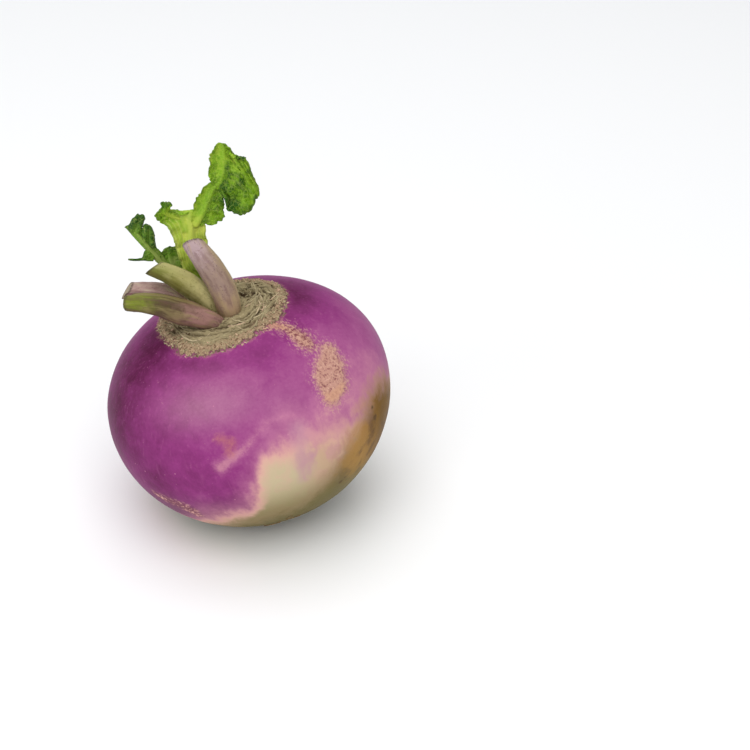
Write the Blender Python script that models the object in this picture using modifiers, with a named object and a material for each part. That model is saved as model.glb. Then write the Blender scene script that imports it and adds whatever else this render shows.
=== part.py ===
"""A purple-topped turnip: one swollen root with its corky crown, four cut leaf stalks and two young leaves.

Metres, +Z up. The origin is the centre of the small flat that the root rests on. The root grows along an
axis of its own, which leans towards -X, so every piece is modelled in the plant's frame (Z along that axis,
origin at the centre of the widest section) and hangs from one empty that carries the lean.
"""

import math

import bmesh
import bpy
import numpy as np
from mathutils import Matrix, Vector

# ---- driving dimensions ----

MM = 0.001
LEAN = math.radians(13.0)  # tilt of the growing axis towards -X
EQUATOR_CENTRE = (0.0020, 0.0, 0.0370)  # of the bulb, above the middle of the resting flat

EQUATOR_RADIUS = 0.0420
CROWN_HEIGHT = 0.0312  # from the equator up to the crown's pole
ROOT_DEPTH = 0.0375  # from the equator down to the root's pole
CROWN_POWER = 2.1  # 2 would be an ellipse, more is squarer
ROOT_POWER = 1.97
BULB_STEPS = 84  # round the axis
CORE_RADII = (0.0, 0.0024, 0.0050, 0.0074)  # outline points between the stalks
COLLAR_RADII = np.arange(0.0084, 0.0219, 0.00085)  # and evenly across the collar
SHOULDER_POINTS = 8  # from the collar to the equator
FLANK_POINTS = 11  # from the equator towards the root's pole
ROOT_TURNS = (0.10, 0.075, 0.05, 0.025)  # close to that pole, as shares of the quarter turn
FLANK_LAST_TURN = 0.14
SWELL = 0.00015  # how far the root is from truly round
SWELL_LOBES = 3

COLLAR_RADIUS = 0.0200  # outer edge of the cork round the crown
COLLAR_STEP = 0.0004  # height of that edge above the skin
COLLAR_BEVEL = 0.0009  # width of that edge
COLLAR_WANDER = ((0.0008, 2, 0.6), (0.0004, 5, 2.0))  # waves of its radius: height, count, start
RIDGE_RADII = (0.0100, 0.0125, 0.0150, 0.0174)  # old leaf scars, as rings
RIDGE_HEIGHTS = (0.0007, 0.0008, 0.0006, 0.0004)
RIDGE_WIDTH = 0.0007
RIDGE_DRIFT = 0.0005  # how far a ring wanders in and out
RIDGE_BREAK = 0.35  # share of its height that comes and goes along it
TEAR_PLACE = (0.0090, 0.5)  # torn crevice in the cork: distance from the axis and turn round it
TEAR_SIZE = (0.0022, 0.45)
TEAR_DEPTH = 0.0011
SCAR_RADIUS = 0.0045  # dimple left by the trimmed tap root
SCAR_DEPTH = 0.0009
SCAR_SHARE = 0.6  # of the radius where the dimple is steepest
NUB_SHARE = 0.35  # of the radius that the nub in it takes
NUB_HEIGHT = 0.6  # of the dimple's depth

GAP = 0.0003  # clearance between a stalk and the crown it grows from
STALK_SIDES = 16
STALK_ROWS_PER_POINT = 3
CUT_ROWS = ((-2, 0.5), (-1, 1.0))  # last rows of a stalk and their share of the cut's slant
LEAF_COLUMNS = 9  # points across a blade
LEAF_ROWS_PER_POINT = 3
BLADE_THICKNESS = 0.0007
SHARP_ANGLE = math.radians(50.0)

# Cut leaf stalks. Each point is (x, y, z, half width, half thickness) in millimetres in the plant's frame,
# from a root inside the crown to the cut end. "inner" is the side that faced the young leaves, which carries
# the groove, and "slant" tips the cut face, in millimetres per millimetre across and through the stalk.
STALKS = {
    "petiole_tall": {
        "points": (
            (2.4, -4.8, 26.5, 3.0, 2.8),
            (3.3, -5.0, 31.5, 3.3, 3.1),
            (3.6, -5.2, 36.3, 3.5, 3.4),
            (3.0, -4.8, 41.2, 3.6, 3.5),
            (1.5, -3.8, 45.8, 3.5, 3.4),
            (-0.4, -2.6, 50.2, 3.1, 3.0),
            (-1.6, -1.7, 53.3, 2.8, 2.7),
        ),
        "inner": (-0.75, 0.65, 0.2),
        "groove": 0.45,
        "slant": (0.1, -0.05),
        "colour": (0.34, 0.22, 0.22),
    },
    "petiole_middle": {
        "points": (
            (-3.4, -1.6, 25.5, 2.8, 2.6),
            (-3.2, -1.6, 31.0, 3.2, 2.9),
            (-4.5, -1.9, 36.0, 3.4, 3.2),
            (-6.5, -2.3, 40.1, 3.4, 3.3),
            (-9.0, -2.6, 43.5, 3.1, 3.1),
            (-11.8, -2.6, 46.2, 2.7, 2.7),
            (-14.6, -2.6, 48.4, 2.3, 2.4),
        ),
        "inner": (0.3, 0.5, 0.8),
        "groove": 0.5,
        "slant": (0.2, -0.65),
        "colour": (0.28, 0.27, 0.09),
    },
    "petiole_rear": {
        "points": (
            (-8.6, 3.0, 25.5, 2.2, 2.2),
            (-8.7, 2.8, 30.5, 2.3, 2.3),
            (-10.0, 2.1, 34.4, 2.4, 2.3),
            (-13.2, 1.4, 37.6, 2.4, 2.3),
            (-16.6, 0.8, 39.6, 2.4, 2.3),
            (-20.6, 0.3, 41.1, 2.3, 2.2),
            (-24.6, 0.0, 42.1, 2.2, 2.1),
        ),
        "inner": (-0.2, -0.8, -0.3),
        "groove": 0.7,
        "slant": (-0.6, 0.3),
        "colour": (0.33, 0.22, 0.21),
    },
    "petiole_front": {
        "points": (
            (-1.4, -8.2, 25.5, 3.0, 2.6),
            (-2.2, -8.8, 31.0, 3.4, 2.8),
            (-5.6, -9.8, 34.5, 4.2, 3.2),
            (-10.0, -10.2, 37.3, 4.4, 3.5),
            (-14.2, -10.2, 40.1, 3.7, 3.1),
            (-18.4, -10.2, 41.9, 3.0, 2.7),
            (-22.8, -10.2, 43.2, 2.6, 2.4),
        ),
        "inner": (0.2, 0.3, 0.9),
        "groove": 0.5,
        "slant": (-0.1, -0.15),
        "colour": (0.25, 0.17, 0.12),
    },
}

# Young leaves. Each station is (centre of the rib, left edge, right edge), points in millimetres in the
# plant's frame, from the stalk inside the crown to the tip. Rib thickness runs from the first value to the
# second.
LEAVES = {
    "leaf_tall": {
        "stations": (
            ((-0.6, 4.4, 27.0), (-2.1, 4.4, 27.4), (0.9, 4.4, 27.0)),
            ((-1.0, 4.0, 34.0), (-2.6, 4.0, 34.6), (0.6, 4.0, 33.6)),
            ((-2.6, 3.6, 39.6), (-5.0, 3.5, 40.4), (-0.8, 3.4, 38.8)),
            ((-4.5, 3.2, 43.5), (-7.2, 3.2, 43.6), (-2.5, 3.0, 43.0)),
            ((-4.5, 3.5, 47.0), (-7.5, 3.5, 48.5), (-1.5, 3.4, 46.5)),
            ((-3.5, 4.2, 51.0), (-7.5, 3.5, 52.0), (1.0, 4.4, 50.5)),
            ((-2.5, 4.6, 54.0), (-8.5, 3.0, 56.5), (1.5, 4.4, 53.5)),
            ((-2.0, 5.0, 56.0), (-10.5, 2.5, 61.0), (2.0, 4.0, 55.5)),
            ((-0.8, 5.2, 57.6), (-8.0, 1.8, 65.0), (4.0, 3.5, 55.0)),
            ((0.4, 5.2, 58.8), (-5.0, 4.4, 60.4), (6.2, 3.0, 55.2)),
            ((2.0, 5.2, 60.6), (-1.0, 5.5, 60.8), (8.0, 4.0, 58.0)),
            ((4.0, 5.5, 62.5), (2.5, 5.0, 64.2), (8.8, 5.5, 60.6)),
            ((6.4, 6.2, 65.0), (5.0, 5.4, 66.4), (9.2, 6.8, 62.4)),
            ((8.0, 7.0, 67.0), (6.5, 6.2, 68.8), (9.3, 7.0, 58.2)),
            ((9.4, 7.2, 68.8), (7.0, 6.0, 71.5), (10.8, 5.4, 55.6)),
            ((10.2, 7.6, 70.2), (7.8, 6.5, 73.0), (15.0, 4.6, 56.6)),
            ((10.8, 8.2, 71.8), (8.5, 7.2, 74.5), (18.6, 5.6, 61.2)),
            ((11.2, 8.8, 73.4), (9.4, 8.4, 75.6), (18.2, 7.4, 66.8)),
            ((11.5, 9.4, 74.8), (10.4, 9.4, 76.3), (15.2, 9.2, 71.4)),
            ((11.6, 9.8, 76.0), (11.1, 9.8, 76.6), (12.4, 9.8, 75.6)),
        ),
        "rib": (0.0030, 0.0010),
        "ruffle": 0.0007,
        "colour": (0.20, 0.36, 0.03),
    },
    "leaf_low": {
        "stations": (
            ((-5.2, 7.0, 26.5), (-6.3, 7.0, 27.0), (-4.1, 7.0, 26.5)),
            ((-6.4, 6.2, 33.5), (-7.6, 6.2, 34.2), (-5.2, 6.2, 33.0)),
            ((-8.8, 5.2, 39.5), (-10.1, 5.0, 40.4), (-6.4, 5.6, 38.8)),
            ((-11.8, 4.4, 44.2), (-13.4, 4.0, 45.2), (-6.6, 5.8, 42.2)),
            ((-13.0, 3.8, 47.0), (-15.4, 3.2, 47.2), (-7.0, 6.0, 45.8)),
            ((-14.0, 3.3, 49.4), (-21.6, 2.0, 50.0), (-7.8, 6.0, 49.4)),
            ((-15.0, 3.0, 51.5), (-17.2, 2.5, 51.1), (-12.6, 4.6, 50.8)),
            ((-15.6, 3.0, 53.6), (-17.0, 2.6, 53.2), (-13.6, 3.8, 54.0)),
            ((-16.2, 3.0, 55.8), (-17.4, 2.8, 55.2), (-12.6, 2.8, 58.0)),
            ((-16.9, 3.0, 57.8), (-18.0, 2.8, 57.2), (-13.6, 2.4, 61.2)),
            ((-18.0, 3.0, 59.2), (-18.9, 2.9, 58.6), (-14.6, 1.6, 63.8)),
            ((-19.4, 3.0, 60.1), (-19.8, 3.0, 59.6), (-17.6, 2.2, 62.2)),
            ((-20.2, 3.0, 60.5), (-20.4, 3.0, 60.1), (-19.6, 2.8, 61.1)),
        ),
        "rib": (0.0022, 0.0009),
        "ruffle": 0.0005,
        "colour": (0.12, 0.24, 0.03),
    },
}
RUFFLE_LENGTH = 0.0052  # of one wave along a blade's edge
RUFFLE_TURN = 2.0  # by which the waves of the two sides are out of step
RUFFLE_REACH = (0.0015, 0.0050)  # distances from the rib where the waves start and are full
CUP = 0.16  # how far each half of a blade sinks between rib and edge, as a share of its width
RIB_SPREAD = 0.0012  # distance from the rib's middle where it fades into the blade
RIB_TAPER = 1.5  # power by which the rib thins towards the tip


# ---- scene and helpers ----


def clear_scene() -> None:
    """Remove everything that the file opened with."""
    for thing in list(bpy.data.objects):
        bpy.data.objects.remove(thing, do_unlink=True)


def new_collection(name: str) -> bpy.types.Collection:
    """A collection linked to the scene."""
    collection = bpy.data.collections.new(name)
    bpy.context.scene.collection.children.link(collection)
    return collection


def new_material(name: str, colour: tuple, roughness: float) -> bpy.types.Material:
    """A Principled material with one colour."""
    material = bpy.data.materials.new(name)
    material.use_nodes = True
    shader = material.node_tree.nodes["Principled BSDF"]
    shader.inputs["Base Color"].default_value = (*colour, 1.0)
    shader.inputs["Roughness"].default_value = roughness
    shader.inputs["Metallic"].default_value = 0.0
    return material


def add_object(name: str, mesh: bpy.types.Mesh, collection, parent) -> bpy.types.Object:
    """An object in the plant's frame, holding this mesh."""
    thing = bpy.data.objects.new(name, mesh)
    collection.objects.link(thing)
    thing.parent = parent
    mesh.shade_smooth()
    mesh.set_sharp_from_angle(angle=SHARP_ANGLE)
    return thing


def apply_modifiers(thing: bpy.types.Object) -> None:
    """Replace an object's mesh by what its modifiers make of it."""
    bpy.context.view_layer.update()
    graph = bpy.context.evaluated_depsgraph_get()
    made = bpy.data.meshes.new_from_object(thing.evaluated_get(graph))
    thing.modifiers.clear()
    thing.data = made


def smooth_step(low: float, high: float, value: np.ndarray) -> np.ndarray:
    """0 below low, 1 above high and an even S between."""
    share = np.clip((value - low) / (high - low), 0.0, 1.0)
    return share * share * (3.0 - 2.0 * share)


def smooth_rows(points: np.ndarray, rows_per_point: int) -> np.ndarray:
    """A Catmull-Rom curve through the points, sampled evenly between each pair."""
    ends = np.concatenate([2 * points[:1] - points[1:2], points, 2 * points[-1:] - points[-2:-1]])
    rows = []
    for first in range(len(points) - 1):
        before, start, end, after = ends[first : first + 4]
        for share in np.arange(rows_per_point) / rows_per_point:
            rows.append(
                0.5 * (2 * start + (end - before) * share)
                + 0.5 * (2 * before - 5 * start + 4 * end - after) * share**2
                + 0.5 * (3 * start - before - 3 * end + after) * share**3
            )
    rows.append(points[-1])
    return np.array(rows)


def unit(vectors: np.ndarray) -> np.ndarray:
    """The vectors at length 1."""
    return vectors / np.linalg.norm(vectors, axis=-1, keepdims=True)


def build_mesh(name: str, points: np.ndarray, faces: list) -> bpy.types.Mesh:
    """A mesh with its faces turned outwards."""
    mesh = bpy.data.meshes.new(name)
    mesh.from_pydata([tuple(map(float, point)) for point in points], [], faces)
    shape = bmesh.new()
    shape.from_mesh(mesh)
    bmesh.ops.recalc_face_normals(shape, faces=shape.faces)
    shape.to_mesh(mesh)
    shape.free()
    return mesh


# ---- bulb ----


def outline_point(height: float, power: float, turn: float) -> tuple:
    """A point of the bulb's outline, from the pole (turn 0) to the equator (turn 1)."""
    angle = turn * math.pi / 2
    return (
        EQUATOR_RADIUS * math.sin(angle) ** (2 / power),
        height * math.cos(angle) ** (2 / power),
    )


def crown_height_at(radius: float) -> float:
    """Height of the smooth crown above the equator at this distance from the axis."""
    return CROWN_HEIGHT * (1 - (radius / EQUATOR_RADIUS) ** CROWN_POWER) ** (1 / CROWN_POWER)


def bulb_profile() -> list:
    """The outline from the crown's pole down to the root's pole, closer spaced across the collar."""
    profile = [(float(radius), crown_height_at(float(radius))) for radius in (*CORE_RADII, *COLLAR_RADII)]
    collar_turn = math.asin((COLLAR_RADII[-1] / EQUATOR_RADIUS) ** (CROWN_POWER / 2)) / (math.pi / 2)
    for turn in np.linspace(collar_turn, 1.0, SHOULDER_POINTS + 1)[1:]:
        profile.append(outline_point(CROWN_HEIGHT, CROWN_POWER, turn))
    for turn in (*np.linspace(1.0, FLANK_LAST_TURN, FLANK_POINTS + 1)[1:], *ROOT_TURNS):
        radius, depth = outline_point(ROOT_DEPTH, ROOT_POWER, turn)
        profile.append((radius, -depth))
    profile.append((0.0, -ROOT_DEPTH))
    return profile


def cork_relief(radius: np.ndarray, turn: np.ndarray) -> np.ndarray:
    """Height of the crown's cork over the smooth bulb: a stepped collar with broken rings of leaf scars."""
    edge = np.full_like(turn, COLLAR_RADIUS)
    for height, count, start in COLLAR_WANDER:
        edge += height * np.sin(count * turn + start)
    relief = COLLAR_STEP * (1 - smooth_step(edge - COLLAR_BEVEL, edge, radius))
    for number, (ring, height) in enumerate(zip(RIDGE_RADII, RIDGE_HEIGHTS)):
        drift = RIDGE_DRIFT * np.sin((2 + number) * turn + 1.7 * number)
        broken = 1 - RIDGE_BREAK * (1 - np.sin((3 + number) * turn + 2.3 * number))
        relief += height * broken * np.exp(-(((radius - ring - drift) / RIDGE_WIDTH) ** 2))
    across = (radius - TEAR_PLACE[0]) / TEAR_SIZE[0]
    along = (turn - TEAR_PLACE[1]) / TEAR_SIZE[1]
    return relief - TEAR_DEPTH * np.exp(-(across**2) - along**2)


def scar_relief(radius: np.ndarray) -> np.ndarray:
    """The dimple of the trimmed tap root, with a nub left in its middle."""
    dimple = -SCAR_DEPTH * np.exp(-((radius / (SCAR_SHARE * SCAR_RADIUS)) ** 4))
    nub = NUB_HEIGHT * SCAR_DEPTH * np.exp(-((radius / (NUB_SHARE * SCAR_RADIUS)) ** 4))
    return dimple + nub


def grown_bulb(name: str, collection, parent) -> bpy.types.Object:
    """The whole root, turned about its axis and given its relief, before the flat is cut."""
    profile = bulb_profile()
    mesh = bpy.data.meshes.new(name)
    edges = [(index, index + 1) for index in range(len(profile) - 1)]
    mesh.from_pydata([(radius, 0.0, height) for radius, height in profile], edges, [])
    bulb = add_object(name, mesh, collection, parent)
    screw = bulb.modifiers.new("turn", "SCREW")
    screw.steps = BULB_STEPS
    screw.render_steps = BULB_STEPS
    screw.use_merge_vertices = True
    screw.merge_threshold = 0.00001
    apply_modifiers(bulb)

    points = np.empty(len(bulb.data.vertices) * 3)
    bulb.data.vertices.foreach_get("co", points)
    points = points.reshape(-1, 3)
    normals = np.array([vertex.normal for vertex in bulb.data.vertices])
    radius = np.hypot(points[:, 0], points[:, 1])
    turn = np.arctan2(points[:, 1], points[:, 0])
    above = points[:, 2] > 0
    relief = np.where(above, cork_relief(radius, turn), scar_relief(radius))
    swell = np.sin(SWELL_LOBES * turn + 0.4) * np.sin(2 * points[:, 2] / CROWN_HEIGHT + 0.9)
    relief += SWELL * swell * (radius / EQUATOR_RADIUS)
    bulb.data.vertices.foreach_set("co", (points + normals * relief[:, None]).ravel())
    return bulb


def cut_flat(bulb: bpy.types.Object) -> None:
    """Cut the root off level at the origin, where it rests."""
    to_bulb = bulb.matrix_world.inverted()
    shape = bmesh.new()
    shape.from_mesh(bulb.data)
    everything = [*shape.verts, *shape.edges, *shape.faces]
    origin = to_bulb @ Vector()
    down = (to_bulb.to_3x3() @ Vector((0.0, 0.0, -1.0))).normalized()
    bmesh.ops.bisect_plane(shape, geom=everything, plane_co=origin, plane_no=down, clear_outer=True)
    bmesh.ops.holes_fill(shape, edges=[edge for edge in shape.edges if edge.is_boundary], sides=0)
    bmesh.ops.recalc_face_normals(shape, faces=shape.faces)
    shape.to_mesh(bulb.data)
    shape.free()
    bulb.data.set_sharp_from_angle(angle=SHARP_ANGLE)


def crown_cutter(bulb: bpy.types.Object, collection, parent) -> bpy.types.Object:
    """The uncut root grown by the gap, which trims the foot of every stalk."""
    mesh = bulb.data.copy()
    mesh.name = "crown_cutter"
    for vertex, normal in zip(mesh.vertices, [vertex.normal.copy() for vertex in mesh.vertices]):
        vertex.co += normal * GAP
    cutter = add_object("crown_cutter", mesh, collection, parent)
    cutter.hide_render = True
    cutter.display_type = "WIRE"
    return cutter


def trim_foot(thing: bpy.types.Object, cutter: bpy.types.Object) -> None:
    """Cut away what lies inside the crown, and keep the part that stands out of it."""
    cut = thing.modifiers.new("foot", "BOOLEAN")
    cut.operation = "DIFFERENCE"
    cut.solver = "EXACT"
    cut.object = cutter


# ---- cut stalks ----


def stalk_rings(design: dict) -> np.ndarray:
    """Grooved sections along a stalk, the last one tipped into its slanting cut."""
    rows = smooth_rows(np.array(design["points"]) * MM, STALK_ROWS_PER_POINT)
    centres = rows[:, :3]
    along = unit(np.gradient(centres, axis=0))
    inner = np.array(design["inner"])
    inner = unit(inner - along * (along @ inner)[:, None])
    across = np.cross(along, inner)
    angles = np.arange(STALK_SIDES) * 2 * math.pi / STALK_SIDES
    grooved = np.sin(angles) * (1 - design["groove"] * np.clip(np.sin(angles), 0, 1) ** 2)
    grooved = 2 * (grooved - grooved.min()) / np.ptp(grooved) - 1
    wide = rows[:, 3, None] * np.cos(angles)
    thick = rows[:, 4, None] * grooved
    rings = centres[:, None] + wide[..., None] * across[:, None] + thick[..., None] * inner[:, None]
    tip_across, tip_inner = design["slant"]
    for row, share in CUT_ROWS:
        shift = share * (tip_across * wide[row] + tip_inner * thick[row])
        rings[row] += shift[:, None] * along[row]
    return rings


def lofted_mesh(name: str, rings: np.ndarray) -> bpy.types.Mesh:
    """A closed skin over rings of equal count, with flat ends."""
    rows, sides = rings.shape[:2]
    faces = []
    for row in range(rows - 1):
        for side in range(sides):
            following = (side + 1) % sides
            low, high = row * sides, (row + 1) * sides
            faces.append((low + side, low + following, high + following, high + side))
    faces.append(tuple(range(sides)))
    faces.append(tuple((rows - 1) * sides + side for side in range(sides)))
    return build_mesh(name, rings.reshape(-1, 3), faces)


# ---- leaves ----


def blade_grid(design: dict) -> np.ndarray:
    """Points of a blade's middle surface: rows from stalk to tip, columns from the left edge to the right."""
    stations = np.array(design["stations"]) * MM
    rows = smooth_rows(stations.reshape(len(stations), -1), LEAF_ROWS_PER_POINT)
    centre, left, right = rows[:, :3], rows[:, 3:6], rows[:, 6:]
    across = np.sin(np.linspace(-1, 1, LEAF_COLUMNS) * math.pi / 2)[:, None]
    edge = np.where(across < 0, left[:, None], right[:, None])
    grid = centre[:, None] + np.abs(across) * (edge - centre[:, None])

    middle = LEAF_COLUMNS // 2
    facing = unit(np.cross(np.gradient(grid, axis=0), np.gradient(grid, axis=1)) + 1e-12)
    step = np.linalg.norm(np.diff(grid, axis=0, prepend=grid[:1]), axis=2)
    travelled = np.cumsum(step, axis=0)
    width = np.linalg.norm(grid - centre[:, None], axis=2)
    waves = np.sin(2 * math.pi * travelled / RUFFLE_LENGTH + RUFFLE_TURN * np.sign(across[:, 0]))
    grown = smooth_step(*RUFFLE_REACH, width)
    share = np.abs(across[:, 0])
    cupped = CUP * 4 * share * (1 - share) * width[:, [0, -1]].repeat([middle + 1, middle], axis=1)
    return grid + facing * (design["ruffle"] * waves * grown + cupped)[..., None]


def blade_mesh(name: str, design: dict) -> bpy.types.Mesh:
    """A closed blade: thick at its rib, thin at its edges, and split into triangles alike on both faces."""
    grid = blade_grid(design)
    rows, columns = grid.shape[:2]
    facing = unit(np.cross(np.gradient(grid, axis=0), np.gradient(grid, axis=1)) + 1e-12)
    distance = np.linalg.norm(grid - grid[:, columns // 2, None], axis=2)
    first_rib, last_rib = design["rib"]
    fade = np.linspace(1.0, 0.0, rows)[:, None] ** RIB_TAPER
    rib = last_rib + (first_rib - last_rib) * fade
    thickness = BLADE_THICKNESS + (rib - BLADE_THICKNESS) * np.exp(-((distance / RIB_SPREAD) ** 2))
    wall = facing * (thickness / 2)[..., None]
    points = np.concatenate([(grid + wall).reshape(-1, 3), (grid - wall).reshape(-1, 3)])

    back = rows * columns
    faces = []
    for row in range(rows - 1):
        for column in range(columns - 1):
            corner = row * columns + column
            above, beside = corner + columns, corner + 1
            opposite = above + 1
            for triangle in ((corner, beside, opposite), (corner, opposite, above)):
                faces.append(triangle)
                faces.append(tuple(back + index for index in reversed(triangle)))
        for start in (row * columns, row * columns + columns - 1):
            faces.append((start, start + columns, back + start + columns, back + start))
    for start in (0, (rows - 1) * columns):
        for column in range(columns - 1):
            corner = start + column
            faces.append((corner, corner + 1, back + corner + 1, back + corner))
    return build_mesh(name, points, faces)


# ---- assembly ----


def main() -> None:
    """Model every piece in the plant's frame, under the empty that leans it."""
    clear_scene()
    turnip = new_collection("turnip")
    cutters = new_collection("cutters")
    axis = bpy.data.objects.new("growing_axis", None)
    turnip.objects.link(axis)
    axis.matrix_world = Matrix.Translation(EQUATOR_CENTRE) @ Matrix.Rotation(-LEAN, 4, "Y")
    bpy.context.view_layer.update()

    bulb = grown_bulb("bulb", turnip, axis)
    cutter = crown_cutter(bulb, cutters, axis)
    bpy.context.view_layer.update()
    cut_flat(bulb)
    bulb.data.materials.append(new_material("root_skin", (0.36, 0.10, 0.28), 0.42))

    for name, design in STALKS.items():
        stalk = add_object(name, lofted_mesh(name, stalk_rings(design)), turnip, axis)
        stalk.data.materials.append(new_material(name, design["colour"], 0.5))
        trim_foot(stalk, cutter)
    for name, design in LEAVES.items():
        leaf = add_object(name, blade_mesh(name, design), turnip, axis)
        leaf.data.materials.append(new_material(name, design["colour"], 0.5))
        trim_foot(leaf, cutter)


main()
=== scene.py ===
"""The looks of a purple-topped turnip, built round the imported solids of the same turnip.

The root grows along an axis of its own, which leans towards -X. Every piece is shaped in the plant's frame (Z
along that axis, origin at the centre of the widest section, millimetres) and then set into the row frame, so
each finished object sits at the origin with its place in its mesh.
"""

from __future__ import annotations

import logging
import math
from dataclasses import dataclass, field
from enum import Enum
from typing import Any, Sequence

import bpy
import numpy as np
from mathutils import Matrix, Vector, kdtree, noise


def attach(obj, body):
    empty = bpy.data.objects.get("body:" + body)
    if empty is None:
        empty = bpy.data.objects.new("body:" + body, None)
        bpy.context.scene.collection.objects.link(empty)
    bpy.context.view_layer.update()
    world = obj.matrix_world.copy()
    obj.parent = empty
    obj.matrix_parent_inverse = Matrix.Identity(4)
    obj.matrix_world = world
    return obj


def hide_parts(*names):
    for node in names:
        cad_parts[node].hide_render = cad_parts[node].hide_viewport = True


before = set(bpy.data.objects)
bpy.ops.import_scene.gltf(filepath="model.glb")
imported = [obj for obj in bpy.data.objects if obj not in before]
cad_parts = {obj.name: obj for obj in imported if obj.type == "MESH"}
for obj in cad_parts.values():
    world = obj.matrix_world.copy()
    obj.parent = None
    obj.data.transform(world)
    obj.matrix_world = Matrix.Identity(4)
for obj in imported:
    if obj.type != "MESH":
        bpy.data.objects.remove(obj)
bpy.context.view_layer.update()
LOG = logging.getLogger("turnip")

MM = 0.001
LEAN = math.radians(13.0)
EQUATOR_CENTRE = Vector((2.0, 0.0, 37.0))
PLANT_TO_ROW = Matrix.Scale(MM, 4) @ Matrix.Translation(EQUATOR_CENTRE) @ Matrix.Rotation(-LEAN, 4, "Y")

Piece = bpy.types.Object
Material = bpy.types.Material
Colour = tuple[float, float, float]
Point = tuple[float, float, float]
Pair = tuple[float, float]
Path = tuple[tuple[float, ...], ...]
# height, size in millimetres, halvings and seed of one layer of noise
Lumps = tuple[float, float, int, float]


# ---- small tools ----


def srgb(red: int, green: int, blue: int) -> Colour:
    """A display colour from 0 to 255 as linear values."""
    shares = (red / 255, green / 255, blue / 255)
    return tuple(s / 12.92 if s <= 0.04045 else ((s + 0.055) / 1.055) ** 2.4 for s in shares)


def smooth_step(low: float, high: float, value: np.ndarray) -> np.ndarray:
    """0 at low, 1 at high and an even S between."""
    share = np.clip((value - low) / (high - low), 0.0, 1.0)
    return share * share * (3.0 - 2.0 * share)


def bump(value: np.ndarray, centre: float, width: float) -> np.ndarray:
    """A bell of height 1 at the centre."""
    return np.exp(-(((value - centre) / width) ** 2))


def turn_bump(turn: np.ndarray, centre: float, width: float) -> np.ndarray:
    """A bell round the axis, with its centre and width in degrees."""
    away = np.angle(np.exp(1j * (turn - math.radians(centre))))
    return np.exp(-((away / math.radians(width)) ** 2))


def unit(vectors: np.ndarray) -> np.ndarray:
    """The vectors at length 1."""
    return vectors / np.maximum(np.linalg.norm(vectors, axis=-1, keepdims=True), 1e-12)


def rough(points: np.ndarray, size: float, octaves: int, seed: float) -> np.ndarray:
    """Fractal noise at points.

    Args:
        points: places in millimetres, one a row.
        size: length of the largest lumps in millimetres.
        octaves: number of halvings of the lumps.
        seed: offset that makes one pattern differ from another.

    Returns:
        One value a point, mostly between -1 and 1.
    """
    roughness, finer = 0.8, 2.1
    places = points / size + seed
    return np.array([noise.fractal(Vector(place), roughness, finer, octaves) for place in places])


def layered(points: np.ndarray, layers: Sequence[Lumps]) -> np.ndarray:
    """The sum of some layers of noise at points."""
    return sum(height * rough(points, size, octaves, seed) for height, size, octaves, seed in layers)


def curve_rows(points: np.ndarray, shares: np.ndarray) -> np.ndarray:
    """A Catmull-Rom curve through rows of numbers.

    Args:
        points: the rows to pass through, evenly spaced in share.
        shares: places along the curve, from 0 at the first row to 1 at the last.

    Returns:
        One row for each share.
    """
    ends = np.concatenate([2 * points[:1] - points[1:2], points, 2 * points[-1:] - points[-2:-1]])
    place = np.clip(shares, 0.0, 1.0) * (len(points) - 1)
    first = np.minimum(place.astype(int), len(points) - 2)
    share = (place - first)[:, None]
    before, start, end, after = (ends[first + step] for step in range(4))
    return (
        0.5 * (2 * start + (end - before) * share)
        + 0.5 * (2 * before - 5 * start + 4 * end - after) * share**2
        + 0.5 * (3 * start - before - 3 * end + after) * share**3
    )


def distance_to(points: np.ndarray, path: np.ndarray) -> tuple[np.ndarray, np.ndarray]:
    """How far points are from a path.

    Args:
        points: places to measure, one a row.
        path: rows of x, y, z and any further values, close together.

    Returns:
        The distance of each point, and the row of the path that it is nearest to.
    """
    tree = kdtree.KDTree(len(path))
    for number, row in enumerate(path):
        tree.insert(Vector(row[:3]), number)
    tree.balance()
    found = [tree.find(Vector(place)) for place in points]
    return np.array([hit[2] for hit in found]), np.array([hit[1] for hit in found])


def lifted(places: np.ndarray, floor: float) -> np.ndarray:
    """Raise what would be lower than this above the floor.

    Args:
        places: points in the plant's frame, in millimetres.
        floor: the least height in the row frame, in millimetres.

    Returns:
        The points in the plant's frame.
    """
    rotation = np.array(PLANT_TO_ROW.to_3x3()) / MM
    origin = np.array(EQUATOR_CENTRE)
    row = places @ rotation.T + origin
    row[..., 2] = np.maximum(row[..., 2], floor)
    return (row - origin) @ rotation


# ---- bench: primitives and edit-mode work ----


class Start(Enum):
    """The primitive that a piece starts from."""

    GRID = "grid"
    CIRCLE = "circle"
    PLANE = "plane"


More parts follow.
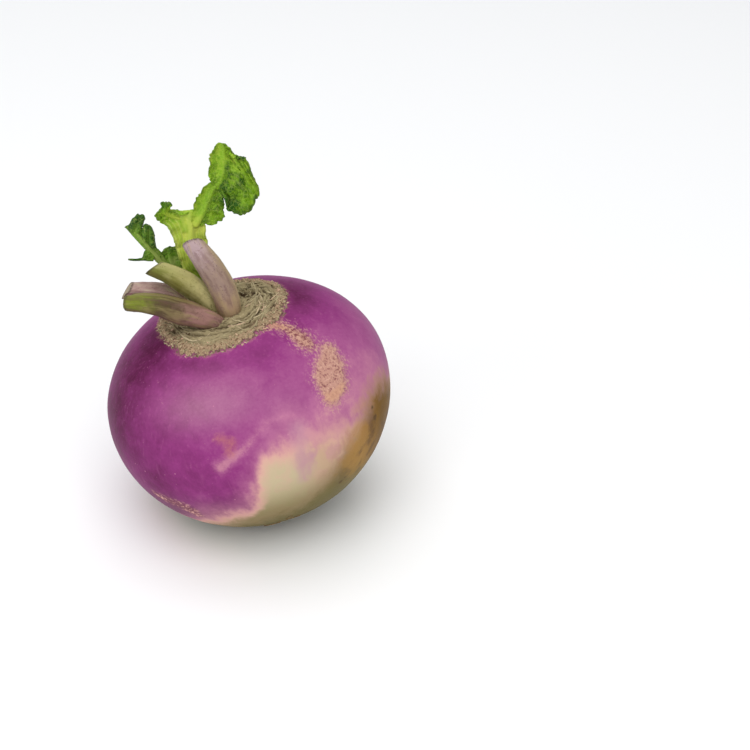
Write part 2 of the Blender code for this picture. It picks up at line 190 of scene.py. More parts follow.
class Bench:
    """Adds primitives, shapes them in edit mode and finishes them."""

    @staticmethod
    def clear() -> None:
        """Leave edit mode and select nothing."""
        if bpy.context.object is not None and bpy.context.object.mode != "OBJECT":
            bpy.ops.object.mode_set(mode="OBJECT")
        bpy.ops.object.select_all(action="DESELECT")

    @classmethod
    def start(cls, kind: Start, name: str, **sizes: Any) -> Piece:
        """Add a primitive and name it.

        Args:
            kind: the primitive.
            name: the piece's name.
            sizes: the primitive's own settings.

        Returns:
            The new piece.
        """
        cls.clear()
        getattr(bpy.ops.mesh, f"primitive_{kind.value}_add")(**sizes)
        piece = bpy.context.object
        piece.name = piece.data.name = name
        return piece

    @classmethod
    def grid(cls, name: str, columns: int, rows: int) -> tuple[Piece, np.ndarray, np.ndarray]:
        """Add a grid.

        Args:
            name: the piece's name.
            columns: number of faces along X.
            rows: number of faces along Y.

        Returns:
            The piece, and the column and row of each of its vertices.
        """
        piece = cls.start(Start.GRID, name, x_subdivisions=columns, y_subdivisions=rows, size=2.0)
        flat = (cls.points(piece) + 1) / 2
        column = np.rint(flat[:, 0] * columns).astype(int)
        row = np.rint(flat[:, 1] * rows).astype(int)
        return piece, column, row

    @staticmethod
    def points(piece: Piece) -> np.ndarray:
        """The places of a piece's vertices."""
        places = np.empty(len(piece.data.vertices) * 3)
        piece.data.vertices.foreach_get("co", places)
        return places.reshape(-1, 3)

    @staticmethod
    def normals(piece: Piece) -> np.ndarray:
        """The directions in which a piece's vertices face."""
        values = np.empty(len(piece.data.vertices) * 3)
        piece.data.vertex_normals.foreach_get("vector", values)
        return values.reshape(-1, 3)

    @staticmethod
    def move(piece: Piece, points: np.ndarray) -> None:
        """Put a piece's vertices at new places."""
        piece.data.vertices.foreach_set("co", points.ravel())
        piece.data.update()

    @classmethod
    def pick(cls, piece: Piece, chosen: np.ndarray) -> None:
        """Enter edit mode with these vertices selected.

        Args:
            piece: the object to work on.
            chosen: one truth value for each vertex.
        """
        cls.hold(piece)
        bpy.ops.object.mode_set(mode="EDIT")
        bpy.ops.mesh.select_mode(type="VERT")
        bpy.ops.mesh.select_all(action="DESELECT")
        bpy.ops.object.mode_set(mode="OBJECT")
        piece.data.vertices.foreach_set("select", np.asarray(chosen, dtype=bool))
        bpy.ops.object.mode_set(mode="EDIT")

    @classmethod
    def hold(cls, *pieces: Piece) -> None:
        """Select these pieces alone, the first one active."""
        cls.clear()
        for piece in pieces:
            piece.select_set(True)
        bpy.context.view_layer.objects.active = pieces[0]

    @classmethod
    def weld(cls, piece: Piece, distance: float) -> None:
        """Merge doubles all over a piece and turn its faces outwards.

        Args:
            piece: the object to work on.
            distance: how close doubles lie, in millimetres.
        """
        cls.pick(piece, np.ones(len(piece.data.vertices), dtype=bool))
        bpy.ops.mesh.remove_doubles(threshold=distance)
        bpy.ops.mesh.select_all(action="SELECT")
        bpy.ops.mesh.delete_loose(use_verts=True, use_edges=True, use_faces=False)
        bpy.ops.mesh.select_all(action="SELECT")
        bpy.ops.mesh.normals_make_consistent(inside=False)
        bpy.ops.object.mode_set(mode="OBJECT")

    @classmethod
    def modify(cls, piece: Piece, kind: str, **settings: Any) -> None:
        """Add a modifier and apply it.

        Args:
            piece: the object to work on.
            kind: the modifier's type.
            settings: the modifier's own settings.
        """
        cls.hold(piece)
        modifier = piece.modifiers.new(kind.lower(), kind)
        for name, value in settings.items():
            setattr(modifier, name, value)
        bpy.ops.object.modifier_apply(modifier=modifier.name)

    @classmethod
    def rolled(cls, name: str, rings: np.ndarray) -> tuple[Piece, np.ndarray, np.ndarray]:
        """Roll a grid into a skin over rings; a row of coinciding points closes it.

        Args:
            name: the piece's name.
            rings: points by row and side.

        Returns:
            The piece, and the row and side of each of its vertices.
        """
        rows, sides = rings.shape[:2]
        piece, side, row = cls.grid(name, sides, rows - 1)
        cls.move(piece, rings[row, side % sides])
        return piece, row, side

    @staticmethod
    def note(piece: Piece, **fields: np.ndarray) -> None:
        """Store fields, one value a vertex, for the finish to read by their names."""
        for name, values in fields.items():
            made = piece.data.attributes.new(name, "FLOAT", "POINT")
            made.data.foreach_set("value", np.asarray(values, dtype=np.float32))

    @classmethod
    def finish(cls, piece: Piece, material: Material, slot: str, nodes: Sequence[str]) -> None:
        """Set a piece from the plant's frame into the row frame, dress it and tie it to the body.

        Args:
            piece: the finished mesh, in millimetres in the plant's frame.
            material: its finish.
            slot: the record's material slot; not used.
            nodes: the solids that it stands for.
        """
        piece.data.transform(PLANT_TO_ROW)
        piece.data.polygons.foreach_set("use_smooth", np.ones(len(piece.data.polygons), dtype=bool))
        piece.data.materials.clear()
        piece.data.materials.append(material)
        piece.data.update()
        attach(piece, "root")
        if nodes:
            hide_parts(*nodes)
        LOG.info("%s: %d faces", piece.name, len(piece.data.polygons))


# ---- shader maths ----


class Link:
    """An output socket on which Python's operators add Math nodes."""

    def __init__(self, tree: "Tree", node: bpy.types.Node, output: int | str) -> None:
        """Wrap one output of a node."""
        self.tree, self.node = tree, node
        self.socket = node.outputs[output]

    def math(self, operation: str, *values: Any) -> "Link":
        """Add a Math node on this and further values."""
        return self.tree.node("ShaderNodeMath", {"operation": operation}, dict(enumerate((self, *values))))

    def __add__(self, other: Any) -> "Link":
        """Sum."""
        return self.math("ADD", other)

    __radd__ = __add__

    def __sub__(self, other: Any) -> "Link":
        """Difference."""
        return self.math("SUBTRACT", other)

    def __rsub__(self, other: Any) -> "Link":
        """Difference from a number."""
        return self.tree.node("ShaderNodeMath", {"operation": "SUBTRACT"}, {0: other, 1: self})

    def __mul__(self, other: Any) -> "Link":
        """Product."""
        return self.math("MULTIPLY", other)

    __rmul__ = __mul__

    def __truediv__(self, other: Any) -> "Link":
        """Quotient."""
        return self.math("DIVIDE", other)

    def step(self, low: float, high: float) -> "Link":
        """0 below low, 1 above high and an even S between."""
        values = {"Value": self, "From Min": low, "From Max": high}
        return self.tree.node("ShaderNodeMapRange", {"interpolation_type": "SMOOTHSTEP"}, values)

    def part(self, output: int | str) -> "Link":
        """Another output of the same node."""
        return Link(self.tree, self.node, output)


class Tree:
    """The nodes of one finish, ending in a Principled shader."""

    def __init__(self, name: str, **constants: Any) -> None:
        """Start a material.

        Args:
            name: the material's name.
            constants: values that are the same all over, by the shader's socket names with _ for a space.
        """
        self.material = bpy.data.materials.new(name)
        self.material.use_nodes = True
        self.nodes = self.material.node_tree.nodes
        self.links = self.material.node_tree.links
        self.shader = self.nodes["Principled BSDF"]
        for socket, value in constants.items():
            self.shader.inputs[socket.replace("_", " ")].default_value = value

    def feed(self, socket: bpy.types.NodeSocket, value: Any) -> None:
        """Link a value into a socket, or set it there.

        Args:
            socket: the input.
            value: a link, a number, a vector or a colour.
        """
        if isinstance(value, Link):
            self.links.new(value.socket, socket)
        elif isinstance(value, tuple) and socket.type == "RGBA":
            socket.default_value = (*value, 1.0)
        else:
            socket.default_value = value

    def node(
        self, kind: str, settings: dict[str, Any] | None = None, values: dict[Any, Any] | None = None
    ) -> Link:
        """Add any node.

        Args:
            kind: the node's type.
            settings: its own settings, set first; "stops" holds a ramp's places and colours.
            values: numbers, colours or links, by input name or number.

        Returns:
            Its first output; part() gives the others.
        """
        made = self.nodes.new(kind)
        for name, value in (settings or {}).items():
            if name == "stops":
                self._fill_ramp(made.color_ramp, value)
            else:
                setattr(made, name, value)
        for name, value in (values or {}).items():
            self.feed(made.inputs[name], value)
        return Link(self, made, 0)

    @staticmethod
    def _fill_ramp(ramp: bpy.types.ColorRamp, stops: Sequence[tuple[float, Colour]]) -> None:
        """Give a ramp its stops.

        Args:
            ramp: the ramp.
            stops: place and colour of each.
        """
        while len(ramp.elements) < len(stops):
            ramp.elements.new(1.0)
        for element, (place, colour) in zip(ramp.elements, stops):
            element.position = place
            element.color = (*colour, 1.0)

    def ramp(self, factor: Link, *stops: tuple[float, Colour]) -> Link:
        """Colours along a factor."""
        return self.node("ShaderNodeValToRGB", {"stops": stops}, {"Fac": factor})

    def mix(self, factor: Any, first: Any, second: Any) -> Link:
        """Mix two colours."""
        values = {0: factor, 6: first, 7: second}
        return self.node("ShaderNodeMix", {"data_type": "RGBA"}, values).part(2)

    def layers(self, skin: Any, *layers: tuple[Any, Any]) -> Link:
        """Lay colours over one another.

        Args:
            skin: the lowest colour.
            layers: how much of each further colour, and the colour.

        Returns:
            The last mix.
        """
        for share, colour in layers:
            skin = self.mix(share, skin, colour)
        return skin

    def scaled(self, vector: Link, scale: Point) -> Link:
        """A vector times one number an axis."""
        return self.node("ShaderNodeVectorMath", {"operation": "MULTIPLY"}, {0: vector, 1: scale})

    def split(self, vector: Link) -> tuple[Link, Link, Link]:
        """The three numbers of a vector."""
        first = self.node("ShaderNodeSeparateXYZ", None, {0: vector})
        return first, first.part(1), first.part(2)

    def joined(self, x: Any, y: Any, z: Any) -> Link:
        """A vector of three numbers."""
        return self.node("ShaderNodeCombineXYZ", None, {0: x, 1: y, 2: z})

    def noted(self, name: str) -> Link:
        """A value that the mesh holds at its vertices."""
        return self.node("ShaderNodeAttribute", {"attribute_name": name}).part("Fac")

    def mapped(self, place: Link, **values: Any) -> Link:
        """Coordinates moved, turned and scaled."""
        return self.node("ShaderNodeMapping", {"vector_type": "POINT"}, {"Vector": place, **values})

    def plant(self) -> Link:
        """Object coordinates in millimetres in the plant's frame."""
        back = tuple(PLANT_TO_ROW.inverted().to_translation())
        place = self.node("ShaderNodeTexCoord").part("Object")
        return self.mapped(place, Location=back, Rotation=(0.0, LEAN, 0.0), Scale=(1 / MM, 1 / MM, 1 / MM))

    def noise(
        self, place: Link, size: float, detail: float = 2.0, roughness: float = 0.5, warp: float = 0.0
    ) -> Link:
        """Noise from 0 to 1.

        Args:
            place: coordinates in millimetres.
            size: length of the largest lumps in millimetres.
            detail: number of halvings of the lumps.
            roughness: strength of each halving.
            warp: how much the lumps are drawn out of shape.

        Returns:
            The noise.
        """
        values = {"Scale": 1 / size, "Detail": detail, "Roughness": roughness, "Distortion": warp}
        return self.node("ShaderNodeTexNoise", {"noise_dimensions": "3D"}, {"Vector": place, **values})

    def cells(self, place: Link, size: float, feature: str = "F1") -> Link:
        """Distance to the nearest of scattered points, in cells of this size in millimetres."""
        return self.node("ShaderNodeTexVoronoi", {"feature": feature}, {"Vector": place, "Scale": 1 / size})

    def spots(self, place: Link, size: float, radius: float, share: float) -> Link:
        """Scattered round spots.

        Args:
            place: coordinates in millimetres.
            size: spacing of the spots.
            radius: radius of a spot, as a share of the spacing.
            share: part of the cells that hold one.

        Returns:
            1 in a spot and 0 outside.
        """
        cell = self.cells(place, size)
        chance = self.split(cell.part("Color"))[0]
        return (1 - cell.step(radius * 0.5, radius)) * chance.step(1 - share, 1.02 - share)

    def end(self, colour: Link, roughness: Any, height: Link, depth: float) -> Material:
        """Join the finish to its shader.

        Args:
            colour: the surface colour.
            roughness: the surface roughness.
            height: relief from 0 to 1.
            depth: how deep that relief is, in millimetres.

        Returns:
            The finished material.
        """
        values = {"Height": height, "Distance": depth * MM, "Strength": 1.0}
        normal = self.node("ShaderNodeBump", None, values)
        for name, value in (("Base Color", colour), ("Roughness", roughness), ("Normal", normal)):
            self.feed(self.shader.inputs[name], value)
        return self.material


# ---- finishes ----


@dataclass(frozen=True)
class RootGrain:
    """The noises that mottle the root's skin, from clouds to grain, and strokes across its side."""

    place: Link
    broad: Link
    middle: Link
    fine: Link
    grain: Link
    stroke: Link


@dataclass(frozen=True)
class RootSkin:
    """Waxy turnip skin, purple over cream, with russet scab, a corky crown, painted shade and a painted
    sheen.
    """

    purple: Colour = srgb(139, 55, 117)
    purple_deep: Colour = srgb(84, 22, 60)
    purple_pale: Colour = srgb(164, 88, 137)
    # purple_dull: duller towards the bottom, partly the skin's own colour and partly painted shade on the
    # underside
    purple_dull: Colour = srgb(112, 78, 94)
    pink: Colour = srgb(192, 124, 152)
    peach: Colour = srgb(216, 166, 154)
    # mauve is also the colour of the painted sheen
    mauve: Colour = srgb(184, 136, 154)
    cream: Colour = srgb(196, 180, 146)
    tan: Colour = srgb(196, 158, 132)
    # cream_green, moss and umber darken the lower and right side: partly the skin's own olive and earthy
    # colour, partly painted shade underneath and painted shadow at the right limb
    cream_green: Colour = srgb(137, 126, 85)
    olive: Colour = srgb(160, 118, 40)
    umber: Colour = srgb(98, 66, 8)
    moss: Colour = srgb(98, 92, 44)
    scald: Colour = srgb(176, 106, 104)
    russet: Colour = srgb(196, 152, 128)
    russet_warm: Colour = srgb(208, 160, 122)
    russet_dark: Colour = srgb(124, 78, 62)
    russet_pale: Colour = srgb(214, 172, 150)
    cork: Colour = srgb(156, 142, 108)
    cork_pale: Colour = srgb(188, 174, 138)
    # cork_dark is the darkest fibre, and also painted shade in the grooves and crevices
    cork_dark: Colour = srgb(62, 48, 32)
    crust: Colour = srgb(160, 136, 108)
    crust_pale: Colour = srgb(194, 162, 136)
    crust_dark: Colour = srgb(92, 68, 50)
    spot: Colour = srgb(84, 62, 34)
    # how the strokes turn, and how they and the streaks are drawn out
    stroke_turn: Point = (0.35, -0.55, 0.75)
    stroke_stretch: Point = (0.25, 1.0, 1.0)
    streak_stretch: Point = (0.9, 0.9, 0.14)
    along_stretch: Point = (1.0, 1.0, 0.25)
    # how dense the cork's fibres are round the crown and away from its middle
    fibre_round: float = 3.6
    fibre_out: float = 2.2
    relief: float = 0.20

    def material(self) -> Material:
        """Build the finish.

        Returns:
            The finished material.
        """
        tree = Tree("root_skin", Specular_IOR_Level=0.04)
        place = tree.plant()
        strokes = tree.scaled(tree.mapped(place, Rotation=self.stroke_turn), self.stroke_stretch)
        grains = RootGrain(
            place=place,
            broad=tree.noise(place, 16.0, 3.0, 0.55),
            middle=tree.noise(place, 4.5, 4.0, 0.6, 0.4),
            fine=tree.noise(place, 0.9, 3.0, 0.6),
            grain=tree.noise(place, 0.3, 2.0, 0.6),
            stroke=tree.noise(strokes, 0.42, 2.0, 0.55),
        )
        middle, fine, grain = grains.middle, grains.fine, grains.grain
        skin = self._marks(tree, self._cream(tree, self._purple(tree, grains), grains), grains)
        skin, scab = self._russet(tree, skin, grains)
        skin, cork, fibre = self._cork(tree, skin, grains)

        rough_skin = 0.34 + 0.10 * middle + 0.10 * fine
        rough_all = rough_skin + scab * 0.28 + cork * 0.42
        waxy = 0.30 * fine + 0.10 * grain + 0.25 * middle
        height = waxy + scab * (0.6 * grain + 0.9 * fine + 0.5 * grains.stroke) + cork * fibre
        return tree.end(skin, rough_all.math("MINIMUM", 0.95), height, self.relief)

    def _purple(self, tree: Tree, grains: RootGrain) -> Link:
        """Purple with deeper and paler clouds, faint streaks and pale specks; painted shade round the collar,
        on the left and towards the bottom, and a painted sheen.

        Args:
            tree: the finish's nodes.
            grains: its noises.

        Returns:
            The colour.
        """
        place, fine = grains.place, grains.fine
        tone = 0.46 + (grains.broad - 0.5) * 0.40 + (grains.middle - 0.5) * 0.30 + (fine - 0.5) * 0.16
        # deep lowers the tone: deeper purple in part, and painted shade round the collar's edge and on the
        # left side in part
        tone = tone - tree.noted("deep") * 0.34 + tree.noted("pale") * 0.42
        stops = (0.08, self.purple_deep), (0.42, self.purple), (0.68, self.purple_pale), (0.92, self.pink)
        streak = tree.noise(tree.scaled(place, self.streak_stretch), 0.9, 2.0, 0.5).step(0.56, 0.78)
        specks = tree.spots(place, 3.1, 0.10, 0.35) * 0.6 + tree.spots(place, 1.4, 0.14, 0.12) * 0.35
        return tree.layers(
            tree.ramp(tone, *stops),
            (streak * 0.24, self.purple_pale),
            # duller towards the bottom: the skin's own colour in part, painted shade on the underside in part
            (tree.noted("low") * 0.62, self.purple_dull),
            # painted highlight: a mauve sheen laid into the colour where a soft light would reflect
            (tree.noted("sheen") * (0.28 + fine * 0.25), self.mauve),
            (specks.math("MINIMUM", 1.0), self.pink),
        )

    def _cream(self, tree: Tree, skin: Link, grains: RootGrain) -> Link:
        """Cream below the soft edge of the purple, through pink and peach, with an olive side that is painted
        shadow in part, darkest at its limb, and painted shade towards the bottom.

        Args:
            tree: the finish's nodes.
            skin: the purple.
            grains: the finish's noises.

        Returns:
            The colour.
        """
        place, middle, fine = grains.place, grains.middle, grains.fine
        limb, rosy = tree.noted("limb"), tree.noted("rosy")
        along = tree.noise(tree.scaled(place, self.along_stretch), 1.8, 3.0, 0.6)
        soft = tree.noise(place, 9.0, 3.0, 0.5)
        inside = tree.noted("cream") + (soft - 0.5) * 5.0 + (middle - 0.5) * 3.0
        inside = inside + (fine - 0.5) * 1.2 + (along - 0.5) * 3.0
        pale = tree.layers(
            self.cream,
            (rosy * 0.75, self.tan),
            (middle.step(0.45, 0.70) * 0.30, self.peach),
            # greener towards the bottom and darker under the root: partly the skin's own colour, partly
            # painted shade
            (tree.noted("low"), self.cream_green),
            (tree.noted("under") * (0.35 + 0.5 * middle), self.moss),
        )
        near_edge = (1 - inside.step(2.0, 10.0)) * inside.step(-2.0, 1.0)
        veil = near_edge * (along * 0.4 + middle * 0.6).step(0.45, 0.60)
        mauve = tree.noted("mauve") + (along - 0.5) * 3.0 + (middle - 0.5) * 2.0
        olive = tree.noted("olive") + (middle - 0.5) * 8.0 + (soft - 0.5) * 6.0 + (fine - 0.5) * 2.0
        # the olive side turns to umber towards the right limb: painted shadow there
        bright = (middle * 0.6 + soft * 0.4).step(0.36, 0.56) * (1 - 0.75 * limb)
        shade = tree.layers(self.moss, (tree.noted("ochre"), tree.mix(bright, self.umber, self.olive)))
        dots = tree.spots(place, 5.5, 0.07, 0.25) * tree.noted("cream").step(0.0, 4.0)
        return tree.layers(
            skin,
            (inside.step(-8.0, -0.5) * 0.55, self.pink),
            (inside.step(-3.6, 1.6), self.peach),
            (inside.step(-1.0, 5.0), pale),
            (veil * 0.42 * rosy, self.pink),
            (mauve.step(-2.2, 1.8) * (0.22 + middle * 0.6), self.mauve),
            (olive.step(-7.0, 1.0) * 0.40, self.tan),
            # the olive side: olive-brown skin in part, painted shadow in part, strongest at the limb
            (olive.step(-7.5, 5.5) * (0.82 + 0.18 * limb), shade),
            (dots * 0.7, self.spot),
        )

    def _marks(self, tree: Tree, skin: Link, grains: RootGrain) -> Link:
        """Pale rubbed smears, thin scratches, scabby flecks and dark spots.

        Args:
            tree: the finish's nodes.
            skin: the purple and cream.
            grains: the finish's noises.

        Returns:
            The colour.
        """
        middle, fine, stroke = grains.middle, grains.fine, grains.stroke
        smear = (tree.noted("smear") + (middle - 0.5) * 2.4 + (stroke - 0.5) * 1.6).step(-1.9, 1.5)
        scald = (tree.noted("scald") + (middle - 0.5) * 3.0 + (fine - 0.5) * 2.0).step(-1.4, 1.4)
        rim = (tree.noted("fleck") + (middle - 0.5) * 3.0).step(-1.6, 1.0)
        spot = (tree.noted("spot") + (fine - 0.5) * 0.8).step(-0.1, 0.5)
        return tree.layers(
            skin,
            (smear * (0.34 + fine * 0.36), self.pink),
            (smear.step(0.5, 1.0) * 0.22, self.peach),
            (scald * (0.34 + fine * 0.50), self.scald),
            (stroke.step(0.68, 0.76) * middle.step(0.48, 0.62) * 0.30, self.peach),
            (rim * 0.45, self.russet_dark),
            (rim * (fine * 0.6 + middle * 0.4).step(0.46, 0.56) * 0.85, self.peach),
            (spot * 0.8, self.spot),
        )

    def _russet(self, tree: Tree, skin: Link, grains: RootGrain) -> tuple[Link, Link]:
        """Scab in a strip and a patch: granular, torn, and scratched round its edge.

        Args:
            tree: the finish's nodes.
            skin: the colour below.
            grains: the finish's noises.

        Returns:
            The colour, and how much of it is scab.
        """
        fine, grain, stroke = grains.fine, grains.grain, grains.stroke
        field_in = tree.noted("russet") + (grains.middle - 0.5) * 3.0
        scab = (field_in + (fine - 0.5) * 2.4 + (stroke - 0.5) * 2.4).step(-1.5, 1.6)
        tone = fine * 0.55 + grain * 0.18 + stroke * 0.27 - tree.noted("torn") * 0.055
        stops = (0.38, self.russet_dark), (0.48, self.russet), (0.53, self.russet), (0.62, self.russet_pale)
        warm = tree.noted("warm") + (fine - 0.5) * 2.0
        shade = tree.mix(warm.step(-0.8, 0.8) * 0.7, tree.ramp(tone, *stops), self.russet_warm)
        loose = field_in.step(-3.6, -0.4) * stroke.step(0.49, 0.58) * fine.step(0.42, 0.56)
        skin = tree.layers(skin, (loose * 0.42, self.russet_pale), (scab * (0.68 + grain * 0.32), shade))
        return skin, scab

    def _cork(self, tree: Tree, skin: Link, grains: RootGrain) -> tuple[Link, Link, Link]:
        """Tan cork with fibres that run round the crown, with painted shade in its grooves and crevices.

        Args:
            tree: the finish's nodes.
            skin: the colour below.
            grains: the finish's noises.

        Returns:
            The colour, how much of it is cork, and the cork's relief.
        """
        fine, grain = grains.fine, grains.grain
        x, y, _ = tree.split(grains.place)
        radius = (x * x + y * y).math("SQRT") + 0.01
        round_x, round_y = x / radius * self.fibre_round, y / radius * self.fibre_round
        ring = tree.joined(round_x, round_y, radius * self.fibre_out)
        fibre = tree.noise(ring, 1.0, 5.0, 0.7, 0.6)
        inside = tree.noted("cork") + (fine - 0.5) * 3.0 + (grain - 0.5) * 2.2
        cork = inside.step(-0.2, 0.5)
        outer = (tree.noted("cork") + (fine - 0.5) * 2.0).step(4.4, 2.2)
        stops = (0.37, self.cork_dark), (0.44, self.cork), (0.53, self.cork), (0.61, self.cork_pale)
        crumbs = (0.40, self.crust_dark), (0.47, self.crust), (0.54, self.crust), (0.63, self.crust_pale)
        groove = tree.noted("groove") * (0.75 + fibre * 0.5)
        shade = tree.layers(
            tree.ramp(fibre * 0.60 + grain * 0.20 + fine * 0.20, *stops),
            (outer, tree.ramp(fine * 0.55 + grain * 0.45, *crumbs)),
            # painted shade in the fibres' grooves and in the crevices
            (groove.math("MINIMUM", 0.9), self.cork_dark),
            (tree.noted("crevice"), self.cork_dark),
        )
        blush = inside.step(-1.2, 0.0) * (1 - cork)
        relief = fibre * 1.6 + grain * 0.9 + fine * outer * 0.8
        return tree.layers(skin, (blush * 0.30, self.russet), (cork, shade)), cork, relief


@dataclass(frozen=True)
class FibreSkin:
    """Dry cork fibre, each strand with its own tone."""

    dark: Colour = srgb(78, 60, 40)
    middle: Colour = srgb(158, 145, 112)
    pale: Colour = srgb(188, 172, 138)
    blush: Colour = srgb(206, 164, 142)
    relief: float = 0.08

    def material(self) -> Material:
        """Build the finish.

        Returns:
            The finished material.
        """
        tree = Tree("cork_fibre", Specular_IOR_Level=0.15)
        fine = tree.noise(tree.plant(), 0.5, 3.0, 0.6)
        tone = tree.noted("tone") + (fine - 0.5) * 0.5
        places = (0.04, 0.24, 0.50, 0.72, 0.95)
        skin = tree.ramp(tone, *zip(places, (self.dark, self.middle, self.middle, self.pale, self.blush)))
        return tree.end(skin, 0.75 + 0.1 * fine, fine, self.relief)


@dataclass(frozen=True)
class StalkSkin:
    """Smooth, faintly ribbed skin of a cut leaf stalk, from its foot to its cut end."""

    name: str
    foot: Colour
    body: Colour
    tip: Colour
    lip: Colour
    # shade: darker mottles, and painted shade along the under side
    shade: Colour
    flesh: Colour = srgb(150, 152, 96)
    dry: Colour = srgb(66, 58, 38)
    # shares of the height where the foot's colour gives way to the body's, and that to the tip's
    foot_span: Pair = (0.08, 0.55)
    tip_span: Pair = (0.60, 0.96)
    # how dense ribs and blotches are round the stalk and along it
    rib_density: Pair = (3.2, 1.2)
    blotch_density: Pair = (2.0, 5.0)
    relief: float = 0.16

    def _wound(self, tree: Tree, density: Pair) -> Link:
        """Coordinates that close round the stalk.

        Args:
            tree: the finish's nodes.
            density: how dense a pattern is round the stalk and along it.

        Returns:
            The coordinates.
        """
        around, along, _ = tree.split(tree.node("ShaderNodeTexCoord").part("UV"))
        turned = around * math.tau
        near, far = density
        return tree.joined(turned.math("COSINE") * near, turned.math("SINE") * near, along * far)

    def material(self) -> Material:
        """Build the finish.

        Returns:
            The finished material.
        """
        tree = Tree(self.name, Specular_IOR_Level=0.22)
        place = tree.plant()
        rib = tree.noise(self._wound(tree, self.rib_density), 0.55, 3.0, 0.6)
        blotch = tree.noise(self._wound(tree, self.blotch_density), 1.0, 3.0)
        mottle = tree.noise(place, 2.4, 4.0, 0.6, 0.3)
        grain = tree.noise(place, 0.4, 2.0, 0.6)
        crumb = grain.step(0.4, 0.6)
        climb = tree.noted("climb") + (mottle - 0.5) * 0.35
        cut = tree.noted("cut")
        pith = tree.mix(tree.spots(place, 0.8, 0.3, 0.6) * 0.5, self.flesh, self.dry)
        near_cut = tree.noted("climb").step(0.962, 0.992) * (1 - cut.step(0.5, 0.9))
        skin = tree.layers(
            self.foot,
            (climb.step(*self.foot_span), self.body),
            (climb.step(*self.tip_span), self.tip),
            (blotch.step(0.50, 0.66) * 0.48, self.lip),
            ((1 - blotch.step(0.34, 0.48)) * 0.44, self.shade),
            (tree.noted("lip") * (0.4 + mottle * 0.7), self.lip),
            # painted shade along the stalk's under side
            (tree.noted("under") * (0.6 + mottle * 0.5), self.shade),
            (rib.step(0.52, 0.76) * 0.16, self.lip),
            ((1 - rib.step(0.28, 0.46)) * 0.20, self.shade),
            (grain.step(0.54, 0.66) * mottle.step(0.46, 0.60) * 0.60, self.shade),
            (tree.spots(place, 0.9, 0.20, 0.22) * 0.5, self.dry),
            (cut.step(0.55, 0.9), pith),
            (near_cut * (0.35 + 0.5 * crumb), self.dry),
            (tree.noted("soil") * (0.35 + 0.55 * crumb), self.dry),
        )
        rough_skin = 0.48 + 0.14 * mottle + cut * 0.2
        return tree.end(skin, rough_skin, rib * 0.7 + grain * 0.5 + mottle * 0.5, self.relief)


@dataclass(frozen=True)
class LeafSkin:
    """Crinkled young blade with a pale rib and a net of pale veins."""

    name: str
    pale: Colour = srgb(188, 198, 78)
    green: Colour = srgb(124, 164, 30)
    dark: Colour = srgb(44, 86, 10)
    rib: Colour = srgb(196, 208, 104)
    scorch: Colour = srgb(64, 84, 20)
    net_size: float = 1.1
    relief: float = 0.2

    def material(self) -> Material:
        """Build the finish.

        Returns:
            The finished material.
        """
        tree = Tree(self.name, Specular_IOR_Level=0.18)
        place = tree.plant()
        mottle = tree.noise(place, 1.7, 4.0, 0.65, 0.4)
        grain = tree.noise(place, 0.4, 2.0, 0.6)
        lamina = tree.noted("tone").step(0.25, 0.6)
        tone = tree.noted("tone") + (mottle - 0.5) * (0.25 + 0.6 * lamina) + (grain - 0.5) * 0.2
        net = tree.cells(place, self.net_size, "DISTANCE_TO_EDGE")
        veins = (1 - net.step(0.0, 0.10)) * 0.35 * lamina * mottle.step(0.35, 0.6)
        side = tree.noted("vein")
        skin = tree.layers(
            tree.ramp(tone, (0.05, self.pale), (0.42, self.green), (0.95, self.dark)),
            ((side * 0.6 + veins).math("MINIMUM", 1.0) * 0.8, self.rib),
            (tree.noted("rib"), self.rib),
            (tree.noted("edge") * mottle.step(0.30, 0.55) * 0.7, self.scorch),
        )
        height = net.step(0.0, 0.3) * lamina * 0.7 + grain * 0.2 - side * 0.6
        return tree.end(skin, 0.42 + 0.16 * mottle, height, self.relief)


@dataclass(frozen=True)
class RootletSkin:
    """Dry brown hair roots."""

    pale: Colour = srgb(166, 136, 92)
    dark: Colour = srgb(96, 70, 40)
    relief: float = 0.05

    def material(self) -> Material:
        """Build the finish.

        Returns:
            The finished material.
        """
        tree = Tree("rootlet_skin", Specular_IOR_Level=0.3)
        grain = tree.noise(tree.plant(), 0.8, 3.0, 0.6)
        skin = tree.ramp(grain, (0.35, self.dark), (0.65, self.pale))
        return tree.end(skin, 0.8 + 0.1 * grain, grain, self.relief)


@dataclass(frozen=True)
class PaleFloor:
    """Smooth, almost white board."""

    colour: Colour = (0.95, 0.95, 0.95)
    cloud: Colour = (0.9, 0.9, 0.9)
    clouds_a_metre: float = 3.0
    relief: float = 0.01

    def material(self) -> Material:
        """Build the finish.

        Returns:
            The finished material.
        """
        tree = Tree("pale_floor", Specular_IOR_Level=0.2)
        place = tree.node("ShaderNodeTexCoord").part("Object")
        cloud = tree.node("ShaderNodeTexNoise", None, {"Vector": place, "Scale": self.clouds_a_metre})
        colour = tree.mix(cloud * 0.04, self.colour, self.cloud)
        return tree.end(colour, 0.6 + 0.05 * cloud, cloud, self.relief)


# ---- root ----


